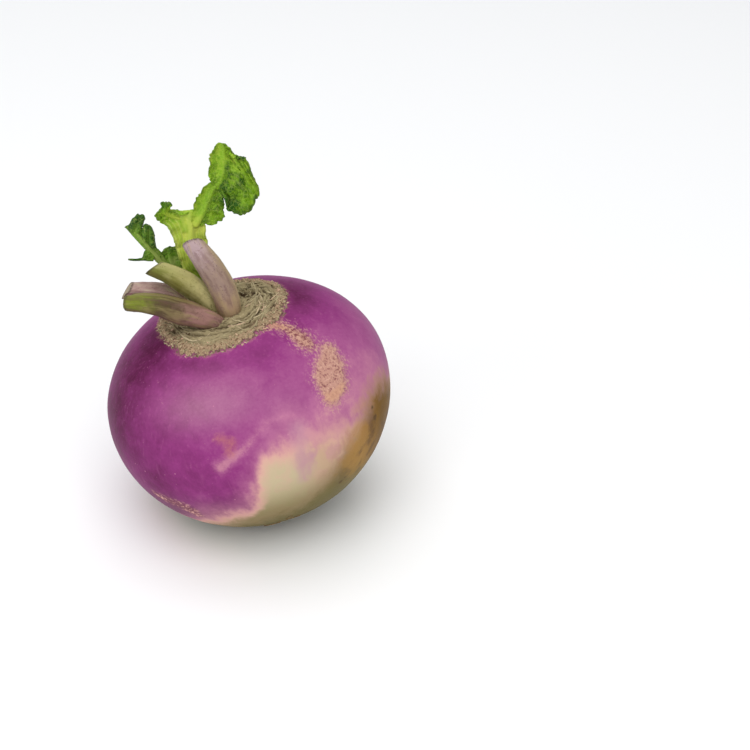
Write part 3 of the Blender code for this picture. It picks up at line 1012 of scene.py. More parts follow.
@dataclass
class Bulb:
    """The swollen root with its corky crown and the scar of its trimmed tap root. Sizes in millimetres."""

    radius: float = 42.0
    crown: float = 31.2
    depth: float = 37.5
    crown_power: float = 2.1
    root_power: float = 1.97
    steps: int = 360
    # spacing of the rings on the middle of the crown and on its cork, and where each ends
    middle_rings: Pair = (0.5, 7.0)
    cork_rings: Pair = (0.2, 22.4)
    # numbers of rings above the widest section, below it and at the root's pole, and that pole's angle
    shoulder_rings: int = 48
    side_rings: int = 84
    pole_rings: int = 26
    pole_angle: float = 0.16
    weld: float = 0.001
    collar_step: float = 0.4
    ridge_radii: tuple[float, ...] = (10.0, 12.5, 15.0, 17.4)
    ridge_heights: tuple[float, ...] = (0.7, 0.8, 0.6, 0.4)
    ridge_width: float = 0.7
    scar_radius: float = 4.5
    scar_depth: float = 0.9
    fibre_spacing: float = 1.2
    fibre_height: float = 0.58
    # layers of noise in the cork's edge, the crevices, the fibres, where those lie, the crumbs and the skin
    fraying: tuple[Lumps, ...] = ((0.75, 2.0, 3, 7.0), (0.5, 6.0, 2, 3.0))
    wander: tuple[Lumps, ...] = ((0.5, 3.0, 3, 11.0),)
    waving: tuple[Lumps, ...] = ((0.75, 4.0, 3, 5.0),)
    patches: tuple[Lumps, ...] = ((1.0, 2.2, 2, 19.0),)
    crumbs: tuple[Lumps, ...] = ((0.22, 0.9, 2, 2.0), (0.20, 2.0, 2, 4.0))
    unevenness: tuple[Lumps, ...] = ((0.10, 14.0, 2, 1.0),)
    deepest_crevice: float = 1.1
    groove: np.ndarray = field(default_factory=lambda: np.zeros(0))
    skin: np.ndarray = field(default_factory=lambda: np.zeros((0, 3)))
    # distance from the axis, turn in degrees, half width, half spread in degrees, depth
    crevices: Path = (
        (7.6, 33, 1.3, 18, 1), (11.2, 46, 0.8, 12, 0.9), (10.2, 19, 0.7, 9, 0.8), (13.2, 20, 0.5, 8, 0.7),
        (13, -149, 0.9, 7, 0.7), (15.6, -154, 0.8, 6, 0.7), (11, -120, 0.45, 26, 0.75),
        (12.4, -76, 0.32, 34, 0.80), (14.2, -100, 0.32, 30, 0.70), (11.2, -40, 0.32, 22, 0.80),
        (13.4, -28, 0.30, 14, 0.75), (15.2, -56, 0.28, 18, 0.60), (15.8, -12, 0.30, 9, 0.70),
        (14.4, 4, 0.35, 9, 0.80), (16.2, 34, 0.30, 10, 0.60), (12.8, 62, 0.35, 16, 0.70),
        (9.4, 120, 0.9, 30, 0.6), (12.2, 160, 0.5, 25, 0.5),
    )
    # outer edge of the cork: turn round the axis in degrees, distance from it
    cork_edge: Path = (
        (-180, 19.6), (-168, 18.9), (-138, 19.2), (-117, 21.1), (-99, 20.8), (-82, 20), (-62, 19.5),
        (-43, 18.7), (-28, 19.2), (-10, 18.8), (14, 19.1), (32, 19.2), (46, 18.5), (63, 17.2), (80, 17),
        (110, 18.2), (140, 19.4), (160, 20.8), (180, 19.6),
    )
    # lower edge of the purple: turn round the axis in degrees, height
    purple_edge: Path = (
        (-180, -20), (-150, -23), (-125, -22.5), (-107, -18), (-96, -16), (-89.5, -13.5), (-86.5, -9),
        (-84.2, -3.5), (-82.2, 0.4), (-79.4, 3.2), (-75, 4), (-68.3, 3.6), (-61.5, 5), (-55.2, 4), (-47, 0),
        (-40, -0.5), (-33, 0.5), (-26, 1.5), (-18.8, 2), (-5, -3), (20, -8), (60, -9), (100, -13),
        (140, -17), (180, -20),
    )
    # where that edge is soft: turns in degrees between which it grows soft and then firm again
    soft: tuple[Pair, Pair] = ((-84.0, -70.0), (20.0, -10.0))
    # where it is soft too, and where it is crisp: turn and half spread in degrees
    soft_low: Pair = (-108.0, 12.0)
    crisp: Pair = (-84.0, 6.0)
    # upper edge of the olive side, olive-brown skin in part and painted shadow in part: turn round the axis
    # in degrees, height
    olive_edge: Path = (
        (-180, -50), (-150, -42), (-120, -32), (-98, -23), (-89, -21), (-82, -20.5), (-75, -20.5),
        (-69, -20), (-63, -17.5), (-57, -14), (-54, -11.5), (-50, -8.5), (-47, -6), (-43, -4.5),
        (-40, -3.5), (-37, -2), (-34, -0.5), (-30, 1), (-24, 2), (-17, 1.5), (-8, -1), (0, -5), (10, -13),
        (25, -24), (45, -34), (80, -46), (180, -50),
    )
    # spines of marks on the skin: x, y, z, half width
    scabs: tuple[Path, ...] = (
        (
            (12.6, -11.6, 28.5, 1.6), (14.8, -11.9, 27.8, 1.6), (17.2, -12.5, 26.9, 1.5),
            (19.3, -13.3, 25.9, 1.9), (21.4, -14.6, 24.6, 2.4), (23.1, -16.2, 23.1, 2.6),
            (24.3, -17.4, 21.9, 2),
        ),
        (
            (24.8, -16.9, 21.8, 0.2), (26.6, -16.5, 20.8, 0.6), (28.5, -16.5, 19.4, 0.9),
            (30.4, -16.6, 17.6, 0.6), (31.7, -17.4, 15.8, 0.4),
        ),
        (
            (28.9, -17.2, 18.7, 2.8), (29.1, -19.9, 17.2, 4.2), (28.8, -22.5, 15.3, 5.1),
            (28.6, -25, 13.2, 5.2), (28.3, -26.7, 11.7, 4), (28.2, -27.5, 10.9, 2.8),
        ),
    )
    warm: tuple[Path, ...] = (
        (
            (25.8, -28.9, 12, 0.9), (27.8, -27.9, 10.9, 1.5), (29.7, -26, 10.6, 1.4),
            (31.3, -23.7, 11.1, 0.9),
        ),
        ((11.6, -11.4, 28.9, 1.6), (14.8, -11.9, 27.8, 1.4), (18, -12.6, 26.6, 0.8)),
    )
    mauves: tuple[Path, ...] = (
        (
            (18.1, -36.5, 7.6, 2.4), (18, -37.4, 4.9, 2.2), (17.8, -37.9, 1.9, 1.8),
            (17.3, -38.2, -1.3, 1.6), (16.8, -38.1, -4.7, 1.2), (15.9, -37.8, -8.2, 0.7),
        ),
        ((19.9, -36.9, -1, 0.6), (18.7, -37.4, -3.9, 0.9), (17.4, -37.5, -6.7, 0.6)),
    )
    smears: tuple[Path, ...] = (
        ((-4.8, -41.4, 3.7, 1.6), (-0.8, -41.2, 5.9, 1.2), (4.4, -40.2, 8.5, 0.8), (7.6, -38.6, 10.8, 0.6)),
        (
            (7.6, -38.6, 10.8, 0.6), (10.6, -37.1, 12.3, 0.5), (14, -35.9, 12.3, 0.4),
            (17.2, -35, 11.6, 0.3),
        ),
        ((25, -31.2, 9.5, 0.8), (27.9, -29.1, 8.8, 0.9), (32, -25.6, 6.9, 0.8), (33.9, -23.1, 6.7, 0.5)),
        ((20.6, -35.8, 5.9, 1.5), (22.2, -35.2, 3.9, 1.9), (23.7, -34.6, 2, 1.2)),
        ((21.4, -36.1, 1.9, 0.7), (24.5, -34.4, 4.4, 0.6), (27.6, -31.6, 5.4, 0.5)),
        ((24, -32.6, 7.8, 1), (26.4, -30.8, 8.2, 1.2), (28.4, -28.8, 8.8, 0.8)),
    )
    scald: Path = ((-3.3, -39, 11.3, 0.9), (-0.5, -39.7, 10.2, 1.3), (-1.4, -40.8, 7.4, 1.2))
    flecks: Path = (
        (-27.9, -29.6, -9.4, 1), (-24, -32.3, -10.7, 1.6), (-19.7, -34.3, -12.6, 2),
        (-17.5, -33.8, -16, 1.2),
    )
    spots: Path = (
        (24.1, -28.1, -17.7, 1), (25.5, -27.4, -17.1, 0.7), (7.4, -30.9, -24.5, 0.8),
        (11.4, -27.4, -26.5, 0.9), (37.4, -19.2, -0.6, 0.8), (37, -18.6, -4.4, 1.2), (-14, 28, -20, 0.9),
        (20, 26, -21, 0.8),
    )
    # parts of the side: turns in degrees between which each grows, and between which it fades
    ochre: tuple[Pair, Pair] = ((-62.0, -40.0), (30.0, -6.0))
    # the limb's part darkens the olive side as painted shadow
    limb: tuple[Pair, Pair] = ((-40.0, -20.0), (12.0, -8.0))
    rosy: tuple[Pair, Pair] = ((-72.0, -56.0), (60.0, 20.0))
    # glows: turn and half spread in degrees, place and half spread in millimetres, strength; the glows by
    # radius are painted shade round the collar's edge, those by height are deeper purple in part and painted
    # shade in part, and the sheen's are a painted highlight
    painted_collar_shade: Path = ((-110.0, 60.0, 24.0, 4.0, 0.5), (20.0, 50.0, 21.0, 7.0, 0.8))
    deep_by_height: Path = ((-108.0, 26.0, -18.0, 10.0, 0.7), (-128.0, 22.0, -4.0, 9.0, 0.7))
    pale_glows: Path = ((-30.0, 34.0, 8.0, 13.0, 0.85),)
    sheen_glows: Path = ((-98.0, 24.0, 19.0, 5.0, 1.0), (-68.0, 12.0, 14.0, 7.0, 0.4))

    def build(self) -> None:
        """Turn the outline, carve its relief, press the flat and note where each colour sits."""
        bulb = self._turned()
        places = Bench.points(bulb)
        radius = np.hypot(places[:, 0], places[:, 1])
        turn = np.arctan2(places[:, 1], places[:, 0])
        cork, crevice = self._collar_fields(places, radius, turn)
        relief = self._relief(places, radius, turn, cork, crevice)
        self.skin = lifted(places + Bench.normals(bulb) * relief[:, None], 0.0)
        Bench.move(bulb, self.skin)
        # groove and crevice darken the cork as painted shade
        Bench.note(bulb, cork=cork, groove=self.groove, crevice=np.clip(crevice * 1.3, 0, 1))
        self._note_edges(bulb, places, turn)
        self._note_marks(bulb, places)
        self._note_glows(bulb, places[:, 2], radius, turn)
        Bench.finish(bulb, RootSkin().material(), "root_skin", ["bulb"])

    def _outline(self) -> np.ndarray:
        """The outline from the crown's pole to the root's pole, close where the relief is fine.

        Returns:
            Rows of distance from the axis and height.
        """
        (middle_gap, middle_end), (cork_gap, cork_end) = self.middle_rings, self.cork_rings
        middle, cork = np.arange(0.0, middle_end, middle_gap), np.arange(middle_end, cork_end, cork_gap)
        radii = np.concatenate([middle, cork])
        heights = self.crown * (1 - (radii / self.radius) ** self.crown_power) ** (1 / self.crown_power)
        start = math.asin((radii[-1] / self.radius) ** (self.crown_power / 2))
        upper = np.linspace(start, math.pi / 2, self.shoulder_rings)[1:]
        side = np.linspace(math.pi / 2, self.pole_angle, self.side_rings)[1:]
        lower = np.concatenate([side, np.linspace(self.pole_angle, 0.0, self.pole_rings)[1:]])
        rows = [np.stack([radii, heights], 1)]
        arcs = (upper, self.crown, self.crown_power), (lower, -self.depth, self.root_power)
        for angles, height, power in arcs:
            across = self.radius * np.sin(angles) ** (2 / power)
            rows.append(np.stack([across, height * np.cos(angles) ** (2 / power)], 1))
        return np.concatenate(rows)

    def _turned(self) -> Piece:
        """Open a circle into the outline and spin it about the axis.

        Returns:
            The smooth root.
        """
        outline = self._outline()
        count = len(outline)
        bulb = Bench.start(Start.CIRCLE, "turnip_root", vertices=2 * count, radius=self.radius)
        Bench.pick(bulb, np.arange(2 * count) >= count)
        bpy.ops.mesh.delete(type="VERT")
        bpy.ops.object.mode_set(mode="OBJECT")
        Bench.move(bulb, np.stack([outline[:, 0], np.zeros(count), outline[:, 1]], 1))
        Bench.pick(bulb, np.ones(count, dtype=bool))
        bpy.ops.mesh.spin(steps=self.steps, angle=math.tau, center=(0, 0, 0), axis=(0, 0, 1))
        bpy.ops.object.mode_set(mode="OBJECT")
        Bench.weld(bulb, self.weld)
        return bulb

    def _collar_fields(
        self, places: np.ndarray, radius: np.ndarray, turn: np.ndarray
    ) -> tuple[np.ndarray, np.ndarray]:
        """How far inside the cork each point lies, and how deep in a crevice.

        Args:
            places: points of the smooth root.
            radius: their distances from the axis.
            turn: their turns round it.

        Returns:
            Millimetres inside the cork's edge, and the depth of the crevice.
        """
        crown = places[:, 2] > 0
        edge = np.interp(np.degrees(turn), *np.array(self.cork_edge).T) + layered(places, self.fraying)
        crevice = np.zeros(len(places))
        near = radius + layered(places, self.wander)
        for at, degrees, width, spread, depth in self.crevices:
            crevice += depth * bump(near, at, width) * turn_bump(turn, degrees, spread)
        far_outside = -20.0
        cork = np.where(crown, edge - radius, far_outside)
        return cork, np.where(crown, np.minimum(crevice, self.deepest_crevice), 0.0)

    def _relief(
        self, places: np.ndarray, radius: np.ndarray, turn: np.ndarray, cork: np.ndarray, crevice: np.ndarray
    ) -> np.ndarray:
        """Height over the smooth root: collar, leaf scars, fibres, crevices, dents and the root's scar.

        Args:
            places: points of the smooth root.
            radius: their distances from the axis.
            turn: their turns round it.
            cork: how far inside the cork they lie.
            crevice: how deep in a crevice they lie.

        Returns:
            One height a point.
        """
        crown = places[:, 2] > 0
        collar = self.collar_step * smooth_step(0.0, 0.6, cork)
        for number, (ring, height) in enumerate(zip(self.ridge_radii, self.ridge_heights)):
            drift = 0.5 * np.sin((2 + number) * turn + 1.7 * number)
            broken = 0.65 + 0.35 * np.sin((3 + number) * turn + 2.3 * number)
            collar += height * broken * bump(radius - drift, ring, self.ridge_width)
        around = np.stack([np.cos(turn) * 9, np.sin(turn) * 9, radius * 0.5], 1)
        line = np.mod((radius + layered(around, self.waving)) / self.fibre_spacing, 1.0)
        line = smooth_step(0.0, 0.16, line) * (1 - 0.55 * line)
        kept = smooth_step(-0.35, 0.10, layered(around, self.patches))
        inner = smooth_step(2.6, 4.6, cork)
        # the groove darkens the cork as painted shade along each fibre's edge
        self.groove = (1 - smooth_step(0.10, 0.75, line)) * (0.10 + 0.90 * kept) * inner * crown
        fibres = self.fibre_height * (line - 0.5) * (0.2 + 0.8 * kept) * inner
        above = collar + fibres + layered(places, self.crumbs) * smooth_step(0.0, 0.5, cork) - crevice

        dimple = -self.scar_depth * np.exp(-((radius / (0.6 * self.scar_radius)) ** 4))
        nub = 0.6 * self.scar_depth * np.exp(-((radius / (0.35 * self.scar_radius)) ** 4))
        wrinkle = 0.12 * np.sin(11 * turn + 2 * rough(places, 6.0, 2, 8.0)) * bump(radius, 5.0, 3.5)
        below = dimple + nub + wrinkle

        swell = np.sin(3 * turn + 0.4) * np.sin(2 * places[:, 2] / self.crown + 0.9)
        skin = 0.15 * swell * (radius / self.radius) + layered(places, self.unevenness)
        return skin + np.where(crown, above, below)

    @staticmethod
    def _span(degrees: np.ndarray, span: tuple[Pair, Pair]) -> np.ndarray:
        """How much points belong to a part of the side that grows and then fades with their turns."""
        grows, fades = span
        return smooth_step(*grows, degrees) * smooth_step(*fades, degrees)

    def _note_edges(self, bulb: Piece, places: np.ndarray, turn: np.ndarray) -> None:
        """Store how far points lie below the purple's edge and the olive's, and in which part of the side.

        Args:
            bulb: the root.
            places: its points before they were carved.
            turn: their turns round the axis.
        """
        degrees, height = np.degrees(turn), places[:, 2]
        edge_turn, edge_height = np.array(self.purple_edge).T
        path_turn = np.linspace(-180, 180, 721)
        path_height = np.interp(path_turn, edge_turn, edge_height)
        path_radius, angle = self.radius_at(path_height), np.radians(path_turn)
        path = np.stack([path_radius * np.cos(angle), path_radius * np.sin(angle), path_height], 1)
        away, _ = distance_to(places, path)
        below = np.interp(degrees, edge_turn, edge_height) > height
        gentle = np.maximum(self._span(degrees, self.soft), turn_bump(turn, *self.soft_low))
        slope = 1 - 0.40 * gentle + 0.6 * turn_bump(turn, *self.crisp)
        slanted = smooth_step(-25.0, -13.0, height + 0.25 * degrees + 10.0)
        Bench.note(
            bulb,
            cream=np.where(below, away, -away) * slope,
            olive=np.interp(degrees, *np.array(self.olive_edge).T) - height,
            ochre=self._span(degrees, self.ochre) * slanted,
            # where the painted shadow on the olive side is strongest
            limb=self._span(degrees, self.limb),
            rosy=self._span(degrees, self.rosy),
            # low and under darken the skin towards the bottom: partly its own colour, partly painted shade
            low=smooth_step(-6.0, -22.0, height + 3.0 * np.sin(turn + 0.6)),
            under=smooth_step(-21.0, -28.0, height),
        )

    def _note_marks(self, bulb: Piece, places: np.ndarray) -> None:
        """Store how far points lie inside each kind of mark.

        Args:
            bulb: the root.
            places: its points before they were carved.
        """
        marks = {
            "russet": self.scabs,
            "mauve": self.mauves,
            "smear": self.smears,
            "warm": self.warm,
            "scald": (self.scald,),
            "fleck": (self.flecks,),
        }
        fields = {
            name: np.max([self._inside(places, path) for path in paths], axis=0)
            for name, paths in marks.items()
        }
        spots = [size - np.linalg.norm(places - (x, y, z), axis=1) for x, y, z, size in self.spots]
        torn = smooth_step(-1.0, 1.0, self._inside(places, self.scabs[0]))
        Bench.note(bulb, **fields, torn=torn, spot=np.max(spots, axis=0))

    def _note_glows(self, bulb: Piece, height: np.ndarray, radius: np.ndarray, turn: np.ndarray) -> None:
        """Store where the purple is darker, as deeper colour and as painted shade, where it is paler, and
        where a sheen is painted on it.

        Args:
            bulb: the root.
            height: heights of its points before they were carved.
            radius: their distances from the axis.
            turn: their turns round it.
        """
        # darker on the left side: deeper purple in part, painted shade in part
        rear = turn_bump(turn, -158.0, 36.0) * smooth_step(-26.0, 18.0, height)
        # painted shade round the collar's edge
        on_crown = self._glow(turn, radius, self.painted_collar_shade) * (height > 0)
        Bench.note(
            bulb,
            deep=np.max([rear, on_crown, self._glow(turn, height, self.deep_by_height)], axis=0),
            pale=self._glow(turn, height, self.pale_glows),
            # painted highlight: where the sheen is laid into the colour
            sheen=self._glow(turn, height, self.sheen_glows),
        )

    @staticmethod
    def _glow(turn: np.ndarray, along: np.ndarray, glows: Path) -> np.ndarray:
        """The strongest of some glows.

        Args:
            turn: turns of the points round the axis.
            along: their heights, or their distances from the axis.
            glows: turn, half spread, place, half spread and strength of each.

        Returns:
            One strength a point.
        """
        bells = [
            strength * turn_bump(turn, at, spread) * bump(along, place, half)
            for at, spread, place, half, strength in glows
        ]
        return np.max(bells, axis=0)

    @staticmethod
    def _inside(places: np.ndarray, marks: Path) -> np.ndarray:
        """How far points lie inside a mark that follows a spine, in millimetres.

        Args:
            places: points on the skin.
            marks: the spine, as x, y, z and half width.

        Returns:
            One distance a point, below 0 outside the mark.
        """
        spine = curve_rows(np.array(marks), np.linspace(0, 1, 90))
        away, nearest = distance_to(places, spine)
        return spine[nearest, 3] - away

    def crown_height(self, places: np.ndarray) -> np.ndarray:
        """Height of the carved crown under each of these places.

        Args:
            places: points over the crown.

        Returns:
            One height a point.
        """
        crown = self.skin[self.skin[:, 2] > 0]
        _, nearest = distance_to(places * (1, 1, 0), crown * (1, 1, 0))
        return crown[nearest, 2]

    def radius_at(self, height: np.ndarray) -> np.ndarray:
        """Distance of the smooth skin from the axis.

        Args:
            height: heights over the widest section.

        Returns:
            One distance a height.
        """
        tall = np.where(height > 0, self.crown, self.depth)
        power = np.where(height > 0, self.crown_power, self.root_power)
        return self.radius * (1 - np.minimum(np.abs(height) / tall, 1.0) ** power) ** (1 / power)


# ---- cut stalks ----


@dataclass
class Stalk:
    """One cut leaf stalk. Points are x, y, z, half width and half thickness in millimetres."""

    name: str
    node: str
    points: Path
    inner: Point
    groove: float
    slant: Pair
    skin: StalkSkin
    # turn round the stalk and width, in degrees, of its paler lip and of its side darkened by painted shade
    lip: Pair
    under: Pair
    # how much soil its foot holds, and the shares of its height between which that ends
    soil: float = 0.7
    soil_span: Pair = (0.10, 0.26)
    sides: int = 96
    rows: int = 110
    ribs: int = 15
    rib_height: float = 0.035
    dents: float = 0.12
    # shares of the height between which the cut starts to slant
    slant_span: Pair = (0.82, 1.0)
    cap_shares: tuple[float, ...] = (0.97, 0.9, 0.8, 0.62, 0.42, 0.2, 0.0)
    cap_sinks: tuple[float, ...] = (-0.10, -0.04, 0.12, 0.24, 0.28, 0.30, 0.30)
    foot_shares: tuple[float, ...] = (0.0, 0.5, 0.85)
    weld: float = 0.0005

    def build(self) -> None:
        """Roll a grid into the stalk, close its foot and its cut end, and dress it."""
        stalk, row, side = Bench.rolled(self.name, self._rings())
        first = len(self.foot_shares)
        climb = np.clip((row - first) / (self.rows - 1), 0, 1)
        cut = np.clip((row - (first + self.rows - 1)) / 3.0, 0, 1)
        angle = side / self.sides * math.tau
        Bench.note(
            stalk,
            climb=climb,
            cut=cut,
            lip=turn_bump(angle, *self.lip) * (1 - cut),
            # painted shade on the under side
            under=turn_bump(angle, *self.under) * (1 - cut),
            soil=self.soil * (1 - smooth_step(*self.soil_span, climb)),
        )
        Bench.weld(stalk, self.weld)
        Bench.finish(stalk, self.skin.material(), self.skin.name, [self.node])

    def _rings(self) -> np.ndarray:
        """Sections from the closed foot to the middle of the cut face.

        Returns:
            Points by row and side.
        """
        shares = np.linspace(0, 1, self.rows)
        rows = curve_rows(np.array(self.points), shares)
        centres = rows[:, :3]
        along = unit(np.gradient(centres, axis=0))
        inner = np.array(self.inner)
        inner = unit(inner - along * (along @ inner)[:, None])
        across = np.cross(along, inner)
        angles = np.arange(self.sides) * math.tau / self.sides
        cosine, sine = np.cos(angles), np.sin(angles)
        grooved = sine * (1 - self.groove * np.clip(sine, 0, 1) ** 2)
        grooved = 2 * (grooved - grooved.min()) / np.ptp(grooved) - 1
        seed = float(sum(map(ord, self.name)) % 17)
        wobble = rough(np.stack([cosine * 3, sine * 3, np.full_like(angles, seed)], 1), 1.2, 3, seed)
        rib = self.rib_height * (np.cos(self.ribs * angles + 1.5 * wobble) + 0.9 * wobble)
        wide = rows[:, 3, None] * cosine + rib * cosine
        thick = rows[:, 4, None] * grooved + rib * sine
        rings = centres[:, None] + wide[..., None] * across[:, None] + thick[..., None] * inner[:, None]
        lumps = rough(rings.reshape(-1, 3), 3.5, 2, seed).reshape(rings.shape[:2])
        rings += unit(rings - centres[:, None]) * (self.dents * lumps)[..., None]
        tip_across, tip_inner = self.slant
        reach = smooth_step(*self.slant_span, shares)[:, None] * (tip_across * wide + tip_inner * thick)
        rings += reach[..., None] * along[:, None]

        foot = [centres[0] + share * (rings[0] - centres[0]) for share in self.foot_shares]
        middle = rings[-1].mean(axis=0)
        cap = [
            middle + share * (rings[-1] - middle) - sink * along[-1]
            for share, sink in zip(self.cap_shares, self.cap_sinks)
        ]
        return np.concatenate([foot, rings, cap])


# ---- leaves ----


@dataclass
class Strip:
    """One lobe of a leaf. Each station gives rib, left edge and right edge, and their tones."""

    stations: tuple[tuple[Point, Point, Point, Point], ...]
    rib_width: Pair
    seed: float
    # waves and teeth of the margin, and lumps of the blade: heights and lengths
    ruffle: float = 0.6
    ruffle_length: float = 4.6
    tooth: float = 0.5
    tooth_length: float = 1.9
    crinkle: float = 0.35
    lump_size: float = 2.6
    pleat_size: float = 1.5
    # share of the crinkle on the left half
    calm: float = 1.0
    cup: float = 0.16
    # number of veins that fan out across the strip, instead of side veins
    fan: float = 0.0
    # how pale the left margin is
    margin: float = 0.0
    rib_tone: float = 0.5
    # a fold along the right half: place between rib and edge, width, height
    fold: Point = (0.5, 0.2, 0.0)
    thickness: float = 0.40
    columns: int = 48
    rows_per_station: int = 10
    vein_spacing: float = 3.4
    vein_width: float = 0.22
    vein_depth: float = 0.10
    vein_tone: float = 0.5
    weld: float = 0.0001

    def build(self, name: str) -> Piece:
        """Shape a grid into the lobe, note its tones and give it a thickness.

        Args:
            name: the lobe's name.

        Returns:
            The lobe.
        """
        rows = (len(self.stations) - 1) * self.rows_per_station
        lobe, column, row = Bench.grid(name, self.columns, rows)
        grid, fields = self._grid(rows + 1)
        Bench.move(lobe, grid[row, column])
        Bench.note(lobe, **{key: values[row, column] for key, values in fields.items()})
        Bench.modify(lobe, "SOLIDIFY", thickness=self.thickness, offset=0.0, use_even_offset=False)
        swell = np.empty(len(lobe.data.vertices), dtype=np.float32)
        lobe.data.attributes["swell"].data.foreach_get("value", swell)
        Bench.move(lobe, Bench.points(lobe) + Bench.normals(lobe) * (0.5 * swell)[:, None])
        Bench.weld(lobe, self.weld)
        return lobe

    def _grid(self, rows: int) -> tuple[np.ndarray, dict[str, np.ndarray]]:
        """The middle surface of the lobe and what the finish reads on it.

        Args:
            rows: number of rows from its foot to its tip.

        Returns:
            Points by row and column, and one array of the same shape for each field.
        """
        share = np.linspace(0, 1, rows)
        lines = curve_rows(np.array(self.stations).reshape(len(self.stations), -1), share)
        centre, left, right, tones = np.split(lines[:, None], 4, axis=2)
        across = np.sin(np.linspace(-1, 1, self.columns + 1) * math.pi / 2)[None, :]
        side = np.abs(across)
        grid = centre + side[..., None] * (np.where(across[..., None] < 0, left, right) - centre)

        travelled = np.cumsum(np.linalg.norm(np.diff(grid, axis=0, prepend=grid[:1]), axis=2), axis=0)
        width = np.linalg.norm(grid - centre, axis=2)
        half = self.columns // 2
        reach = width[:, [0, -1]].repeat([half + 1, half], axis=1)
        run = travelled[:, [0, -1]].repeat([half + 1, half], axis=1)
        wing = smooth_step(0.8, 3.0, reach)
        saw = np.abs(np.mod(run / self.tooth_length + 0.4 * np.sin(run * 0.9 + self.seed), 1.0) * 2 - 1)
        wander = 0.35 * np.sin(run * 1.3 + self.seed) * self.tooth
        grid = grid + unit(grid - centre) * (((saw - 0.6) * self.tooth + wander) * wing * side**3)[..., None]

        facing = unit(np.cross(np.gradient(grid, axis=0), np.gradient(grid, axis=1)))
        lumps = rough(grid.reshape(-1, 3), self.lump_size, 2, self.seed).reshape(width.shape)
        pleats = np.abs(rough(grid.reshape(-1, 3), self.pleat_size, 2, self.seed + 5.0).reshape(width.shape))
        crumple = (lumps + 1.6 * (pleats - 0.25)) * np.where(across < 0, self.calm, 1.0)
        grown = smooth_step(1.0, 4.0, width) * side
        waves = np.sin(math.tau * travelled / self.ruffle_length + 2.0 * np.sign(across) + self.seed)
        frill = np.sin(math.tau * travelled / (0.43 * self.ruffle_length) + 4.0 * np.sign(across)) * side**4
        lift = self.ruffle * (waves + 0.5 * frill) * grown
        lift += self.cup * 4 * side * (1 - side) * reach
        at, spread, height = self.fold
        lift += height * bump(across, at, spread) * smooth_step(3.0, 8.0, reach)
        lift += self.crinkle * crumple * smooth_step(0.2, 1.6, width)
        if self.fan:
            vein = bump(np.mod(across * self.fan + 0.10 * lumps, 1.0), 0.5, 0.16)
            vein = vein * smooth_step(1.2, 2.5, reach) * smooth_step(1.0, 0.8, share)[:, None]
        else:
            bent = travelled - 0.85 * width + 0.9 * lumps
            phase = np.mod(bent / self.vein_spacing + 0.25 * np.sign(across), 1.0)
            vein = bump(phase * self.vein_spacing, 0.5 * self.vein_spacing, self.vein_width)
            vein *= smooth_step(0.5, 1.5, width)
            vein *= (1 - smooth_step(0.5, 0.85, side)) * self.vein_tone
        grid = grid + facing * (lift - self.vein_depth * vein)[..., None]
        # darker in the hollows of the crinkles: painted shade
        hollow_shade = np.clip(-0.9 * self.crinkle * crumple, -0.10, 0.5) * smooth_step(0.2, 1.2, width)
        middle, left, right = np.moveaxis(tones, 2, 0)
        tone = middle + side**0.8 * (np.where(across < 0, left, right) - middle)
        rib, swell = self._rib(share, across, width)
        base = smooth_step(0.15, 0.4, share)[:, None]
        fields = {
            "tone": np.clip(tone + hollow_shade, 0, 1.1),
            "rib": rib,
            "vein": vein,
            "edge": smooth_step(0.88, 1.0, side) * wing * (1 - self.margin) * base,
            "swell": swell,
        }
        return grid, {name: np.broadcast_to(values, width.shape) for name, values in fields.items()}

    def _rib(self, share: np.ndarray, across: np.ndarray, width: np.ndarray) -> tuple[np.ndarray, np.ndarray]:
        """The rib, and the pale left margin.

        Args:
            share: shares of the lobe's length, by row.
            across: places from the left edge at -1 to the right edge at 1, by column.
            width: distances from the rib.

        Returns:
            How pale each point is, and how far it swells.
        """
        first, last = self.rib_width
        rib_width = (last + (first - last) * (1 - share) ** 1.5)[:, None]
        middle = np.exp(-((width / (0.5 * rib_width)) ** 2))
        rib = middle * self.rib_tone * smooth_step(0.0, 0.2, share)[:, None]
        left = self.margin * smooth_step(0.80, 0.95, np.abs(across)) * (across < 0)
        rib = rib + left * smooth_step(0.75, 0.5, share)[:, None]
        return np.clip(rib, 0, 1), middle * rib_width * 0.5


@dataclass
class Leaf:
    """A young leaf of several lobes."""

    name: str
    node: str
    strips: tuple[Strip, ...]
    skin: LeafSkin

    def build(self) -> None:
        """Build the lobes, join them and dress the leaf."""
        lobes = [strip.build(f"{self.name}_{number}") for number, strip in enumerate(self.strips)]
        Bench.hold(*lobes)
        bpy.ops.object.join()
        leaf = lobes[0]
        leaf.name = leaf.data.name = self.name
        Bench.finish(leaf, self.skin.material(), self.skin.name, [self.node])


# ---- strands ----


